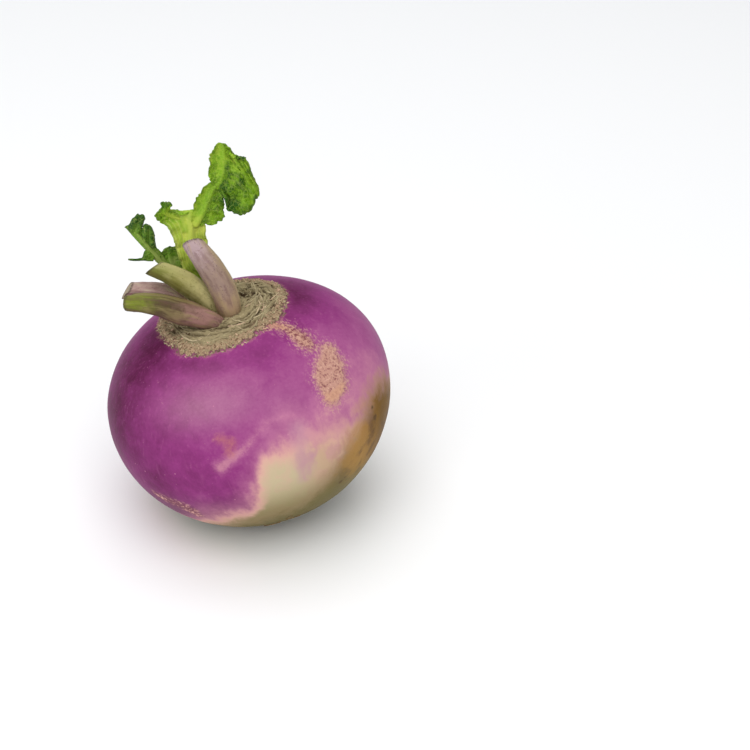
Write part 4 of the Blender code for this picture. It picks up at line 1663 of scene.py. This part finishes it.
@dataclass
class Strands:
    """Many thin closed strands in one piece. Sizes in millimetres."""

    name: str
    sides: int = 6
    rows: int = 16
    weld: float = 0.0001

    def rings(
        self, spines: np.ndarray, widths: np.ndarray, depths: np.ndarray, tilts: np.ndarray
    ) -> np.ndarray:
        """Rings round each spine, closed at both of its ends.

        Args:
            spines: points by strand and row.
            widths: half width by strand.
            depths: half thickness by strand.
            tilts: turn of the flat side round the spine, by strand.

        Returns:
            Points by row and side, one strand after the other.
        """
        along = unit(np.gradient(spines, axis=1))
        across = unit(np.cross(along, unit(spines)))
        outwards = np.cross(across, along)
        tilt = tilts[:, None, None]
        flat = np.cos(tilt) * across + np.sin(tilt) * outwards
        upright = np.cos(tilt) * outwards - np.sin(tilt) * across
        taper = np.sin(math.pi * np.linspace(0, 1, self.rows)) ** 0.5
        taper[[0, -1]] = 0.0
        angles = np.arange(self.sides) * math.tau / self.sides
        wide = (widths[:, None] * taper)[..., None, None] * np.cos(angles)[:, None] * flat[:, :, None]
        deep = (depths[:, None] * taper)[..., None, None] * np.sin(angles)[:, None] * upright[:, :, None]
        return (spines[:, :, None] + wide + deep).reshape(-1, self.sides, 3)

    def finish(self, rings: np.ndarray, tones: np.ndarray, material: Material) -> None:
        """Roll the skin, close the strands and dress them.

        Args:
            rings: points by row and side, one strand after the other.
            tones: one tone a strand.
            material: their finish.
        """
        piece, row, _ = Bench.rolled(self.name, rings)
        Bench.note(piece, tone=tones[row // self.rows])
        Bench.weld(piece, self.weld)
        Bench.finish(piece, material, "root_skin", [])


@dataclass
class CorkFibres(Strands):
    """Torn fibres that lie round the crown, and short flakes at the cork's edge.

    A pair gives the least and the greatest value that is drawn.
    """

    name: str = "cork_fibres"
    fibres: int = 170
    flakes: int = 560
    seed: int = 19
    # half widths and half thicknesses, and tones
    fibre_widths: Pair = (0.08, 0.34)
    flake_widths: Pair = (0.10, 0.24)
    fibre_depths: Pair = (0.06, 0.12)
    flake_depths: Pair = (0.06, 0.16)
    fibre_tones: Pair = (0.0, 0.9)
    flake_tones: Pair = (0.05, 0.95)
    # heights over the crown, how far the ends curl up, and turns about the spine
    rises: Pair = (-0.12, 0.18)
    curls: Pair = (-0.1, 0.45)
    tilts: Pair = (-0.35, 0.35)
    # degrees that a fibre covers to either side, its share of the cork's radius, and how far that drifts
    fibre_spans: Pair = (4, 18)
    fibre_shares: Pair = (0.40, 0.86)
    fibre_drifts: Pair = (-0.12, 0.12)
    # distance of a flake from the cork's edge, and half its length
    flake_places: Pair = (-3.4, 0.5)
    flake_lengths: Pair = (0.15, 0.6)

    def build(self, bulb: Bulb) -> None:
        """Lay the fibres and the flakes on the carved crown.

        Args:
            bulb: the root, built.
        """
        draw = np.random.default_rng(self.seed)
        spines = np.concatenate([self._fibres(bulb, draw), self._flakes(bulb, draw)])
        count = len(spines)
        heights = bulb.crown_height(spines.reshape(-1, 3)).reshape(count, self.rows)
        heights = 0.5 * heights + 0.5 * heights.mean(axis=1, keepdims=True)
        share = np.linspace(-1, 1, self.rows)
        curl = draw.uniform(*self.curls, (count, 1)) * np.abs(share) ** 3
        spines[:, :, 2] = heights + draw.uniform(*self.rises, (count, 1)) + curl
        long = np.arange(count) < self.fibres
        pairs = (
            (self.fibre_widths, self.flake_widths),
            (self.fibre_depths, self.flake_depths),
            (self.fibre_tones, self.flake_tones),
        )
        widths, depths, tones = (
            np.where(long, draw.uniform(*fibre, count), draw.uniform(*flake, count)) for fibre, flake in pairs
        )
        middle = spines[:, self.rows // 2]
        # fibres darker in the recess on the crown's right: painted shade
        recess_shade = turn_bump(np.arctan2(middle[:, 1], middle[:, 0]), 35.0, 26.0)
        recess_shade = recess_shade * bump(np.hypot(middle[:, 0], middle[:, 1]), 8.5, 3.0)
        rings = self.rings(spines, widths, depths, draw.uniform(*self.tilts, count))
        self.finish(rings, tones * (1 - 0.8 * recess_shade), FibreSkin().material())

    def _fibres(self, bulb: Bulb, draw: np.random.Generator) -> np.ndarray:
        """Spines that run round the crown.

        Args:
            bulb: the root.
            draw: the random draws.

        Returns:
            Points by strand and row.
        """
        number = (self.fibres, 1)
        share = np.linspace(-1, 1, self.rows)
        turn = draw.uniform(-180, 180, number) + draw.uniform(*self.fibre_spans, number) * share
        turn = (turn + 180) % 360 - 180
        ring = draw.uniform(*self.fibre_shares, number) + draw.uniform(*self.fibre_drifts, number) * share
        ring = ring + 0.012 * np.sin(draw.uniform(1, 5, number) * share + draw.uniform(0, 6, number))
        radius = ring * np.interp(turn, *np.array(bulb.cork_edge).T)
        angle = np.radians(turn)
        return np.stack([radius * np.cos(angle), radius * np.sin(angle), np.full_like(radius, bulb.crown)], 2)

    def _flakes(self, bulb: Bulb, draw: np.random.Generator) -> np.ndarray:
        """Short spines in any direction near the cork's edge.

        Args:
            bulb: the root.
            draw: the random draws.

        Returns:
            Points by strand and row.
        """
        number = (self.flakes, 1)
        share = np.linspace(-1, 1, self.rows)
        turn = draw.uniform(-180, 180, number)
        radius = np.interp(turn, *np.array(bulb.cork_edge).T) + draw.uniform(*self.flake_places, number)
        heading = draw.uniform(0, math.tau, number)
        length = draw.uniform(*self.flake_lengths, number)
        x = radius * np.cos(np.radians(turn)) + length * np.cos(heading) * share
        y = radius * np.sin(np.radians(turn)) + length * np.sin(heading + 0.3 * share) * share
        return np.stack([x, y, np.full_like(x, bulb.crown)], 2)


@dataclass
class Rootlets(Strands):
    """Hair roots that lie along the skin near the root's end.

    A pair gives the least and the greatest value that is drawn.
    """

    name: str = "rootlets"
    count: int = 26
    seed: int = 7
    lengths: Pair = (3.0, 8.0)
    thicknesses: Pair = (0.07, 0.13)
    # angles from the root's pole where they start, and the share of them that climb
    starts: Pair = (0.12, 0.75)
    climbers: float = 0.67
    # distance from the axis over which a length becomes a turn
    reach: float = 22.0
    clearance: float = 0.25

    def build(self, bulb: Bulb) -> None:
        """Let the hair roots start in the skin and creep along it, above the floor.

        Args:
            bulb: the root, built.
        """
        draw = np.random.default_rng(self.seed)
        number = (self.count, 1)
        share = np.linspace(0, 1, self.rows)
        length = draw.uniform(*self.lengths, number)
        phase = draw.uniform(0, math.tau, number)
        turns = draw.uniform(-math.pi, math.pi, number)
        turns = turns + draw.uniform(-1, 1, number) * length / self.reach * share
        turns = turns + 0.06 * np.sin(9 * share + phase)
        climbing = np.where(draw.uniform(0, 1, number) < self.climbers, 1.0, -0.4)
        heights = -bulb.depth * np.cos(draw.uniform(*self.starts, number)) + 0.45 * length * share * climbing
        heights = np.maximum(heights, -bulb.depth + 0.4)
        radius = bulb.radius_at(heights) - 0.2 + 0.5 * np.sin(math.pi * share) ** 0.7
        spines = np.stack([radius * np.cos(turns), radius * np.sin(turns), heights], 2)
        spines = lifted(spines, self.clearance)
        sizes = draw.uniform(*self.thicknesses, self.count)
        rings = self.rings(spines, sizes, sizes, np.zeros(self.count))
        self.finish(rings, draw.uniform(0, 1, self.count), RootletSkin().material())


# ---- studio ----


@dataclass(frozen=True)
class SoftBox:
    """A rectangular light that faces the turnip. Sizes in metres, power in watts."""

    name: str
    place: Point
    width: float
    height: float
    power: float
    colour: Colour
    target: Point = (0.0, 0.0, 0.04)

    def build(self) -> None:
        """Hang the light and turn it to the turnip."""
        Bench.clear()
        bpy.ops.object.light_add(type="AREA", location=self.place)
        lamp = bpy.context.object
        lamp.name = self.name
        lamp.data.shape = "RECTANGLE"
        lamp.data.size, lamp.data.size_y = self.width, self.height
        lamp.data.energy = self.power
        lamp.data.color = self.colour
        lamp.rotation_euler = (Vector(self.target) - Vector(self.place)).to_track_quat("-Z", "Y").to_euler()


@dataclass
class Studio:
    """Pale floor, soft lights and the camera. Sizes in metres."""

    floor_size: float = 8.0
    elevation: float = math.radians(32.0)
    distance: float = 0.6
    lens: float = 97.65
    sensor: float = 36.0
    aim: Point = (0.0392, 0.0030, 0.0418)
    world: Colour = (0.93, 0.96, 1.0)
    world_strength: float = 0.52
    lights: tuple[SoftBox, ...] = (
        SoftBox("key", (0.02, -0.58, 0.97), 1.0, 1.0, 7.6, (1.0, 0.98, 0.95)),
        SoftBox("fill", (-0.80, -0.75, 0.42), 0.7, 0.6, 2.8, (0.95, 0.97, 1.0)),
        SoftBox("top", (-0.1, 0.35, 1.1), 1.0, 1.0, 3.6, (1.0, 1.0, 1.0)),
    )

    def build(self) -> None:
        """Lay the floor, hang the lights and set up the camera."""
        self._floor()
        for light in self.lights:
            light.build()
        self._surround()
        self._camera()

    def _floor(self) -> None:
        """A broad board under the turnip."""
        floor = Bench.start(Start.PLANE, "floor", size=self.floor_size)
        Bench.pick(floor, np.ones(4, dtype=bool))
        bpy.ops.mesh.subdivide(number_cuts=3)
        bpy.ops.object.mode_set(mode="OBJECT")
        floor.data.materials.append(PaleFloor().material())

    def _surround(self) -> None:
        """An even pale surround."""
        world = bpy.data.worlds.new("surround")
        bpy.context.scene.world = world
        world.use_nodes = True
        backdrop = world.node_tree.nodes["Background"]
        backdrop.inputs["Color"].default_value = (*self.world, 1.0)
        backdrop.inputs["Strength"].default_value = self.world_strength

    def _camera(self) -> None:
        """A long lens that looks down at the turnip from its front."""
        back = Vector((0.0, -math.cos(self.elevation), math.sin(self.elevation)))
        Bench.clear()
        bpy.ops.object.camera_add(location=Vector(self.aim) + back * self.distance)
        camera = bpy.context.object
        camera.name = "camera"
        camera.data.lens = self.lens
        camera.data.sensor_width = self.sensor
        camera.rotation_euler = (-back).to_track_quat("-Z", "Y").to_euler()
        bpy.context.scene.camera = camera
        settings = bpy.context.scene.view_settings
        settings.view_transform = "Standard"
        settings.look = "None"


# ---- the turnip's own sizes ----


def stalks() -> list[Stalk]:
    """The four cut stalks.

    Returns:
        The stalks, not yet built.
    """
    return [
        Stalk(
            name="stalk_tall", node="petiole_tall",
            points=(
                (2.4, -4.8, 26.5, 3, 2.8), (3.3, -5, 31.5, 3.3, 3.1), (3.6, -5.2, 36.3, 3.5, 3.4),
                (3, -4.8, 41.2, 3.6, 3.5), (1.5, -3.8, 45.8, 3.5, 3.4), (-0.4, -2.6, 50.2, 3.1, 3),
                (-1.6, -1.7, 53.3, 2.8, 2.7),
            ),
            inner=(-0.75, 0.65, 0.2), groove=0.45, slant=(0.6, -0.25), lip=(234.0, 26.0),
            under=(50.0, 22.0),
            skin=StalkSkin(
                "stalk_mauve", foot=srgb(170, 140, 108), body=srgb(146, 122, 110), tip=srgb(174, 150, 152),
                lip=srgb(172, 150, 108), shade=srgb(108, 78, 76),
            ),
        ),
        Stalk(
            name="stalk_middle", node="petiole_middle",
            points=(
                (-3.4, -1.6, 25.5, 2.8, 2.6), (-3.2, -1.6, 31, 3.2, 2.9), (-4.5, -1.9, 36, 3.4, 3.2),
                (-6.5, -2.3, 40.1, 3.4, 3.3), (-9, -2.6, 43.5, 3.1, 3.1), (-11.8, -2.6, 46.2, 2.7, 2.7),
                (-14.6, -2.6, 48.4, 2.3, 2.4),
            ),
            inner=(0.3, 0.5, 0.8), groove=0.5, slant=(-0.3, -0.7), lip=(150.0, 40.0), under=(238.0, 32.0),
            skin=StalkSkin(
                # its pale foot is painted light, lifting the shadow that the tall stalk casts on it
                "stalk_olive", foot=srgb(230, 218, 156), body=srgb(136, 130, 64), tip=srgb(104, 114, 28),
                lip=srgb(184, 176, 118), shade=srgb(98, 92, 40), foot_span=(0.30, 0.68),
            ),
        ),
        Stalk(
            name="stalk_rear", node="petiole_rear",
            points=(
                (-8.6, 3, 25.5, 2.2, 2.2), (-8.7, 2.8, 30.5, 2.3, 2.3), (-10, 2.1, 34.4, 2.4, 2.3),
                (-13.2, 1.4, 37.6, 2.4, 2.3), (-16.6, 0.8, 39.6, 2.4, 2.3), (-20.6, 0.3, 41.1, 2.3, 2.2),
                (-24.6, 0, 42.1, 2.2, 2.1),
            ),
            inner=(-0.2, -0.8, -0.3), groove=0.7, slant=(-0.6, 0.3), lip=(150.0, 26.0), under=(90.0, 20.0),
            skin=StalkSkin(
                "stalk_rose", foot=srgb(150, 124, 100), body=srgb(170, 140, 132), tip=srgb(172, 142, 134),
                lip=srgb(198, 188, 156), shade=srgb(120, 78, 80), flesh=srgb(158, 144, 122),
            ),
        ),
        Stalk(
            name="stalk_front", node="petiole_front",
            points=(
                (-1.4, -8.2, 25.5, 3, 2.6), (-2.2, -8.8, 31, 3.4, 2.8), (-5.6, -9.8, 34.5, 4.2, 3.2),
                (-10, -10.2, 37.3, 4.4, 3.5), (-14.2, -10.2, 40.1, 3.7, 3.1), (-18.4, -10.2, 41.9, 3, 2.7),
                (-22.8, -10.2, 43.2, 2.6, 2.4),
            ),
            inner=(0.2, 0.3, 0.9), groove=0.5, slant=(-0.55, -0.1), lip=(90.0, 35.0), under=(270.0, 45.0),
            skin=StalkSkin(
                "stalk_front", foot=srgb(158, 118, 110), body=srgb(76, 60, 36), tip=srgb(114, 126, 32),
                lip=srgb(146, 132, 84), shade=srgb(88, 54, 50), foot_span=(0.25, 0.62),
            ),
        ),
    ]


def tall_leaf() -> Leaf:
    """The tall young leaf: winged stalk, horn, middle lobe and end lobe.

    Returns:
        The leaf, not yet built.
    """
    sheet = Strip(
        stations=(
            ((-0.6, 4.4, 27), (-2.1, 4.4, 27.4), (0.9, 4.4, 27), (0.5, 0.4, 0.5)),
            ((-1, 4, 34), (-4.8, 4.2, 34), (0.6, 4, 33.6), (0.5, 0.4, 0.6)),
            ((-2.6, 3.6, 39.6), (-7, 3.9, 39.4), (-0.8, 3.4, 38.8), (0.5, 0.3, 0.8)),
            ((-4.5, 3.2, 43.5), (-8.1, 3.6, 43.4), (-2.5, 3, 43), (0.4, 0.2, 0.8)),
            ((-4.5, 3.5, 47), (-8.3, 3.5, 48.2), (-1.5, 3.4, 46.5), (0.25, 0.15, 0.5)),
            ((-3.5, 4, 51), (-8.2, 3.4, 51.4), (0.7, 4.3, 49.2), (0.15, 0.2, 0.2)),
            ((-2.9, 4.3, 53.2), (-8.2, 3.3, 54.6), (0.8, 4.4, 51.6), (0.1, 0.28, 0.15)),
            ((-2.2, 4.5, 55.5), (-8.8, 3, 57.8), (1.4, 4.5, 54.1), (0.1, 0.35, 0.1)),
            ((-1.7, 4.7, 57.3), (-10.2, 2.7, 59.7), (1.4, 4.6, 55.5), (0.15, 0.42, 0.15)),
            ((-1.2, 4.9, 58.7), (-8.9, 3.2, 61), (1.1, 4.8, 56.7), (0.2, 0.46, 0.2)),
            ((-0.9, 5.1, 59.7), (-6.8, 4, 61.6), (0.7, 5, 58.2), (0.25, 0.5, 0.35)),
            ((-0.7, 5.2, 60), (-4.6, 4.9, 60.7), (0.4, 5.2, 59), (0.5, 0.6, 0.7)),
        ),
        rib_width=(2.6, 0.8), rib_tone=0.15, ruffle=0.25, tooth=0.2, crinkle=0.16, fan=5.0, margin=0.6,
        seed=3.0,
    )
    horn = Strip(
        stations=(
            ((-4.6, 5.4, 57.8), (-6, 5, 56.9), (-3.8, 5.8, 59.4), (0.15, 0.2, 0.15)),
            ((-6.5, 4.5, 59.4), (-8.3, 3.9, 58.3), (-5.2, 5, 60.9), (0.2, 0.3, 0.2)),
            ((-7.7, 3.4, 61), (-10.1, 2.7, 60), (-6.3, 4.1, 61.9), (0.25, 0.4, 0.3)),
            ((-8.1, 2.5, 62.3), (-10.8, 1.9, 61.9), (-6.2, 3.4, 62.6), (0.35, 0.5, 0.5)),
            ((-7.8, 2.4, 63.3), (-9.3, 1.8, 63.4), (-5.7, 3.2, 63.2), (0.6, 0.75, 0.75)),
            ((-7.3, 2.7, 64), (-8.2, 2.4, 64.2), (-5.6, 3.3, 63.7), (0.85, 0.9, 0.9)),
            ((-7.2, 3.3, 64.4), (-8.4, 3.2, 65.1), (-5.9, 3.7, 64.4), (0.95, 0.95, 0.95)),
            ((-7.1, 3.9, 64.6), (-7.6, 3.9, 65), (-6.4, 4.1, 64.6), (0.9, 0.9, 0.9)),
        ),
        rib_width=(1.0, 0.5), rib_tone=0.0, ruffle=0.2, crinkle=0.25, tooth=0.35, cup=0.3, seed=5.0,
    )
    middle = Strip(
        stations=(
            ((-1.1, 4.3, 55.4), (-2.1, 4.3, 56.6), (0.6, 4.5, 55.1), (0.12, 0.2, 0.25)),
            ((0.5, 4.3, 57), (-1.2, 3.9, 59.1), (2.7, 5.2, 54.5), (0.24, 0.30, 0.45)),
            ((1.8, 4.6, 58.5), (-0.2, 3.9, 60.9), (4.5, 6, 53.5), (0.38, 0.36, 0.6)),
            ((2.9, 5, 60), (0.4, 4, 62.2), (7, 6.2, 55.3), (0.46, 0.38, 0.66)),
            ((4, 5.4, 61.3), (1.6, 4.4, 63.5), (7.8, 6.4, 58), (0.50, 0.40, 0.74)),
            ((5.1, 5.8, 62.8), (3.2, 4.9, 65.2), (8.3, 6.6, 60.3), (0.52, 0.40, 0.76)),
            ((6.2, 6.2, 64.1), (4.7, 5.4, 66.2), (8.9, 6.9, 61.8), (0.54, 0.42, 0.78)),
            ((7.4, 6.6, 65.2), (6.2, 6, 66.7), (9.1, 7.2, 63.2), (0.58, 0.46, 0.8)),
            ((8.4, 7, 65.6), (7.8, 6.6, 66.5), (9, 7.4, 64.3), (0.62, 0.55, 0.75)),
        ),
        rib_width=(2.2, 0.9), rib_tone=0.05, vein_tone=0.25, ruffle=0.45, crinkle=0.45, calm=0.3,
        tooth=0.40, fold=(0.5, 0.28, -0.7), seed=11.0,
    )
    end = Strip(
        # the tones above 1 at the right edge of the first stations are painted shade where the lobe folds
        # under
        stations=(
            ((7.3, 6.6, 64.2), (6.9, 6.2, 65.8), (9.5, 6.3, 61.6), (0.60, 0.60, 1.1)),
            ((8.5, 6.9, 65.7), (6.5, 6, 67.3), (8.8, 5.2, 57.9), (0.52, 0.55, 1.3)),
            ((9.5, 7.2, 67), (6.6, 5.8, 69), (10.1, 4.8, 56.8), (0.48, 0.48, 1.2)),
            ((10.1, 7.6, 68.2), (6.7, 5.8, 70.3), (11.8, 4.6, 56), (0.46, 0.44, 0.90)),
            ((10.6, 8, 69.5), (7.5, 6.2, 71.9), (14.5, 4.9, 55.6), (0.44, 0.42, 0.68)),
            ((11, 8.3, 70.9), (8.2, 6.6, 73.6), (17.5, 5.6, 58.8), (0.44, 0.42, 0.56)),
            ((11.3, 8.6, 72.2), (8.8, 7.2, 75.4), (18.8, 6.2, 60.9), (0.42, 0.40, 0.48)),
            ((11.6, 8.9, 73.6), (9.8, 8, 76.1), (18.3, 7, 64.8), (0.42, 0.40, 0.44)),
            ((11.8, 9.2, 74.7), (10.8, 8.7, 76.5), (17.6, 7.9, 69.9), (0.44, 0.42, 0.46)),
            ((11.9, 9.4, 75.6), (11.4, 9.1, 76.6), (15.1, 8.6, 71.3), (0.46, 0.44, 0.52)),
            ((11.9, 9.6, 76.1), (11.7, 9.6, 76.4), (12.8, 9.4, 75.8), (0.5, 0.5, 0.6)),
        ),
        rib_width=(0.6, 0.4), rib_tone=0.06, vein_tone=0.35, ruffle=0.5, crinkle=0.70, calm=0.35,
        tooth=0.40, fold=(0.42, 0.16, -1.3), seed=17.0,
    )
    return Leaf("leaf_tall_blade", "leaf_tall", (sheet, horn, middle, end), LeafSkin("leaf_bright"))


def low_leaf() -> Leaf:
    """The low young leaf: pale stalk, thin spur, two dark curls and a side wing.

    Returns:
        The leaf, not yet built.
    """
    skin = LeafSkin("leaf_dark", pale=srgb(150, 166, 90), green=srgb(104, 142, 40), dark=srgb(38, 76, 12))
    stem = Strip(
        stations=(
            ((-5.2, 7, 26.5), (-6.3, 7, 27), (-4.1, 7, 26.5), (0.3, 0.3, 0.3)),
            ((-6.4, 6.2, 33.5), (-7.6, 6.2, 34.2), (-5.2, 6.2, 33), (0.3, 0.3, 0.4)),
            ((-8.8, 5.6, 39.5), (-10.1, 5.4, 40.4), (-7.4, 5.8, 38.8), (0.2, 0.25, 0.4)),
            ((-11.6, 5.3, 43), (-13.1, 5, 44), (-9.9, 5.6, 42), (0.1, 0.15, 0.2)),
            ((-13.7, 5, 45.7), (-15.2, 4.6, 46.5), (-11.8, 5.4, 44.7), (0.1, 0.15, 0.15)),
            ((-14.5, 4.4, 48), (-15.6, 4, 48.2), (-12.7, 5.2, 47), (0.15, 0.2, 0.2)),
            ((-15.1, 4, 50), (-16.4, 3.6, 50.2), (-13.2, 4.8, 49.3), (0.2, 0.25, 0.25)),
            ((-15.7, 3.6, 51.8), (-16.9, 3.2, 52), (-13.8, 4.2, 51.1), (0.25, 0.3, 0.3)),
            ((-16.3, 3.3, 53.9), (-17.6, 2.9, 53.9), (-14.1, 3.8, 53.1), (0.3, 0.35, 0.35)),
            ((-17, 3.1, 56), (-18.4, 2.8, 55.7), (-15, 3.7, 55.3), (0.35, 0.4, 0.45)),
            ((-17.9, 3, 57.7), (-19.1, 2.7, 57.5), (-16.1, 3.6, 57.6), (0.45, 0.5, 0.6)),
            ((-18.7, 3, 59.1), (-19.7, 2.8, 59), (-17.1, 3.5, 59.3), (0.55, 0.6, 0.75)),
            ((-19.5, 3, 59.8), (-20.1, 3, 59.7), (-18.4, 3.3, 60.2), (0.7, 0.8, 0.9)),
            ((-20, 3, 60), (-20.3, 3, 60), (-19.5, 3.1, 60.2), (0.9, 0.9, 0.9)),
        ),
        rib_width=(2.2, 1.0), rib_tone=0.10, ruffle=0.15, tooth=0.15, crinkle=0.14, seed=21.0,
    )
    spur = Strip(
        stations=(
            ((-15.5, 4, 48.2), (-15.2, 4, 49.7), (-15.9, 3.9, 47.5), (0.4, 0.4, 0.5)),
            ((-16.9, 3.5, 48.8), (-16.9, 3.6, 51.4), (-17.1, 3.3, 48.1), (0.5, 0.7, 0.7)),
            ((-18.2, 3, 49.1), (-18.4, 3.1, 49.5), (-18.3, 2.9, 48.8), (0.8, 0.9, 0.9)),
            ((-19.7, 2.4, 49.6), (-19.8, 2.4, 49.8), (-19.8, 2.4, 49.4), (1, 1, 1)),
            ((-21.1, 1.9, 50.2), (-21.1, 1.9, 50.5), (-21.1, 1.9, 50), (1.1, 1.1, 1.1)),
            ((-22, 1.6, 50.7), (-22, 1.6, 50.8), (-22, 1.6, 50.6), (1.1, 1.1, 1.1)),
        ),
        rib_width=(0.8, 0.4), rib_tone=0.0, ruffle=0.0, tooth=0.0, crinkle=0.05, seed=23.0,
    )
    end_curl = Strip(
        stations=(
            ((-18.3, 3.2, 58), (-19.4, 2.9, 59.7), (-16.3, 3.6, 58), (0.4, 0.6, 0.6)),
            ((-17.6, 3, 59.1), (-18.9, 2.7, 60.5), (-15.6, 3.4, 59.1), (0.6, 0.85, 0.8)),
            ((-16.8, 2.6, 60.4), (-17.9, 2.3, 61.9), (-14.9, 3, 60.4), (0.75, 0.9, 0.95)),
            ((-15.9, 2.2, 61.7), (-16.9, 1.9, 63), (-14, 2.5, 61.8), (0.85, 0.95, 1)),
            ((-15.3, 2, 62.7), (-16, 1.9, 63.6), (-13.9, 2.1, 62.9), (0.9, 1, 1)),
            ((-15, 2.1, 63.3), (-15.3, 2.2, 63.7), (-14.4, 2.2, 63.3), (0.9, 1, 1)),
        ),
        rib_width=(0.9, 0.4), rib_tone=0.08, ruffle=0.25, crinkle=0.35, tooth=0.3, cup=-0.35, seed=25.0,
    )
    side_curl = Strip(
        stations=(
            ((-15.5, 3.8, 53.6), (-16.4, 3.4, 56.4), (-14.1, 4.6, 51.4), (0.7, 0.7, 0.9)),
            ((-15, 3.5, 55.1), (-16.2, 3.1, 58), (-13.8, 4.4, 52.7), (0.7, 0.9, 1)),
            ((-14.4, 3.1, 56.6), (-15.5, 2.8, 58.8), (-13.4, 4, 54.8), (0.7, 0.9, 1)),
            ((-14, 2.8, 57.9), (-15, 2.6, 59.5), (-13.1, 3.5, 56.8), (0.8, 0.95, 1)),
            ((-14, 2.8, 58.9), (-14.5, 2.7, 59.8), (-13.2, 3.1, 58.4), (0.9, 1, 1)),
            ((-14, 2.9, 59.4), (-14.2, 2.9, 59.8), (-13.7, 3, 59.3), (0.9, 1, 1)),
        ),
        rib_width=(0.8, 0.4), rib_tone=0.08, ruffle=0.2, crinkle=0.35, tooth=0.3, cup=-0.4, seed=27.0,
    )
    wing = Strip(
        stations=(
            ((-11, 6, 41), (-12.6, 5.4, 43), (-6, 6, 38.6), (0.15, 0.2, 0.25)),
            ((-11.4, 5.8, 43.6), (-13.9, 5, 45.6), (-6.2, 5.8, 41), (0.1, 0.15, 0.15)),
            ((-11.4, 5.6, 45.6), (-13.8, 4.8, 47.4), (-6.8, 5.6, 43.4), (0.15, 0.25, 0.1)),
            ((-11.2, 5.5, 47), (-13.4, 4.8, 48.9), (-7.2, 5.4, 45.6), (0.35, 0.45, 0.2)),
            ((-10.8, 5.5, 48.1), (-12.4, 5, 49.4), (-7.6, 5.2, 47.4), (0.6, 0.7, 0.35)),
            ((-10.3, 5.5, 48.9), (-11.2, 5.2, 49.8), (-7.8, 5, 48.8), (0.8, 0.8, 0.5)),
            ((-9.8, 5.5, 49.6), (-10.2, 5.4, 50.1), (-8, 5, 49.8), (0.9, 0.9, 0.6)),
        ),
        rib_width=(0.8, 0.5), rib_tone=0.0, ruffle=0.35, crinkle=0.4, tooth=0.3, seed=29.0,
    )
    return Leaf("leaf_low_blade", "leaf_low", (stem, spur, end_curl, side_curl, wing), skin)


def main() -> None:
    """Build the turnip piece by piece, then its studio."""
    logging.basicConfig(level=logging.INFO, format="%(name)s %(message)s")
    bulb = Bulb()
    bulb.build()
    for stalk in stalks():
        stalk.build()
    for leaf in (tall_leaf(), low_leaf()):
        leaf.build()
    CorkFibres().build(bulb)
    Rootlets().build(bulb)
    Studio().build()


if __name__ == "__main__":
    main()
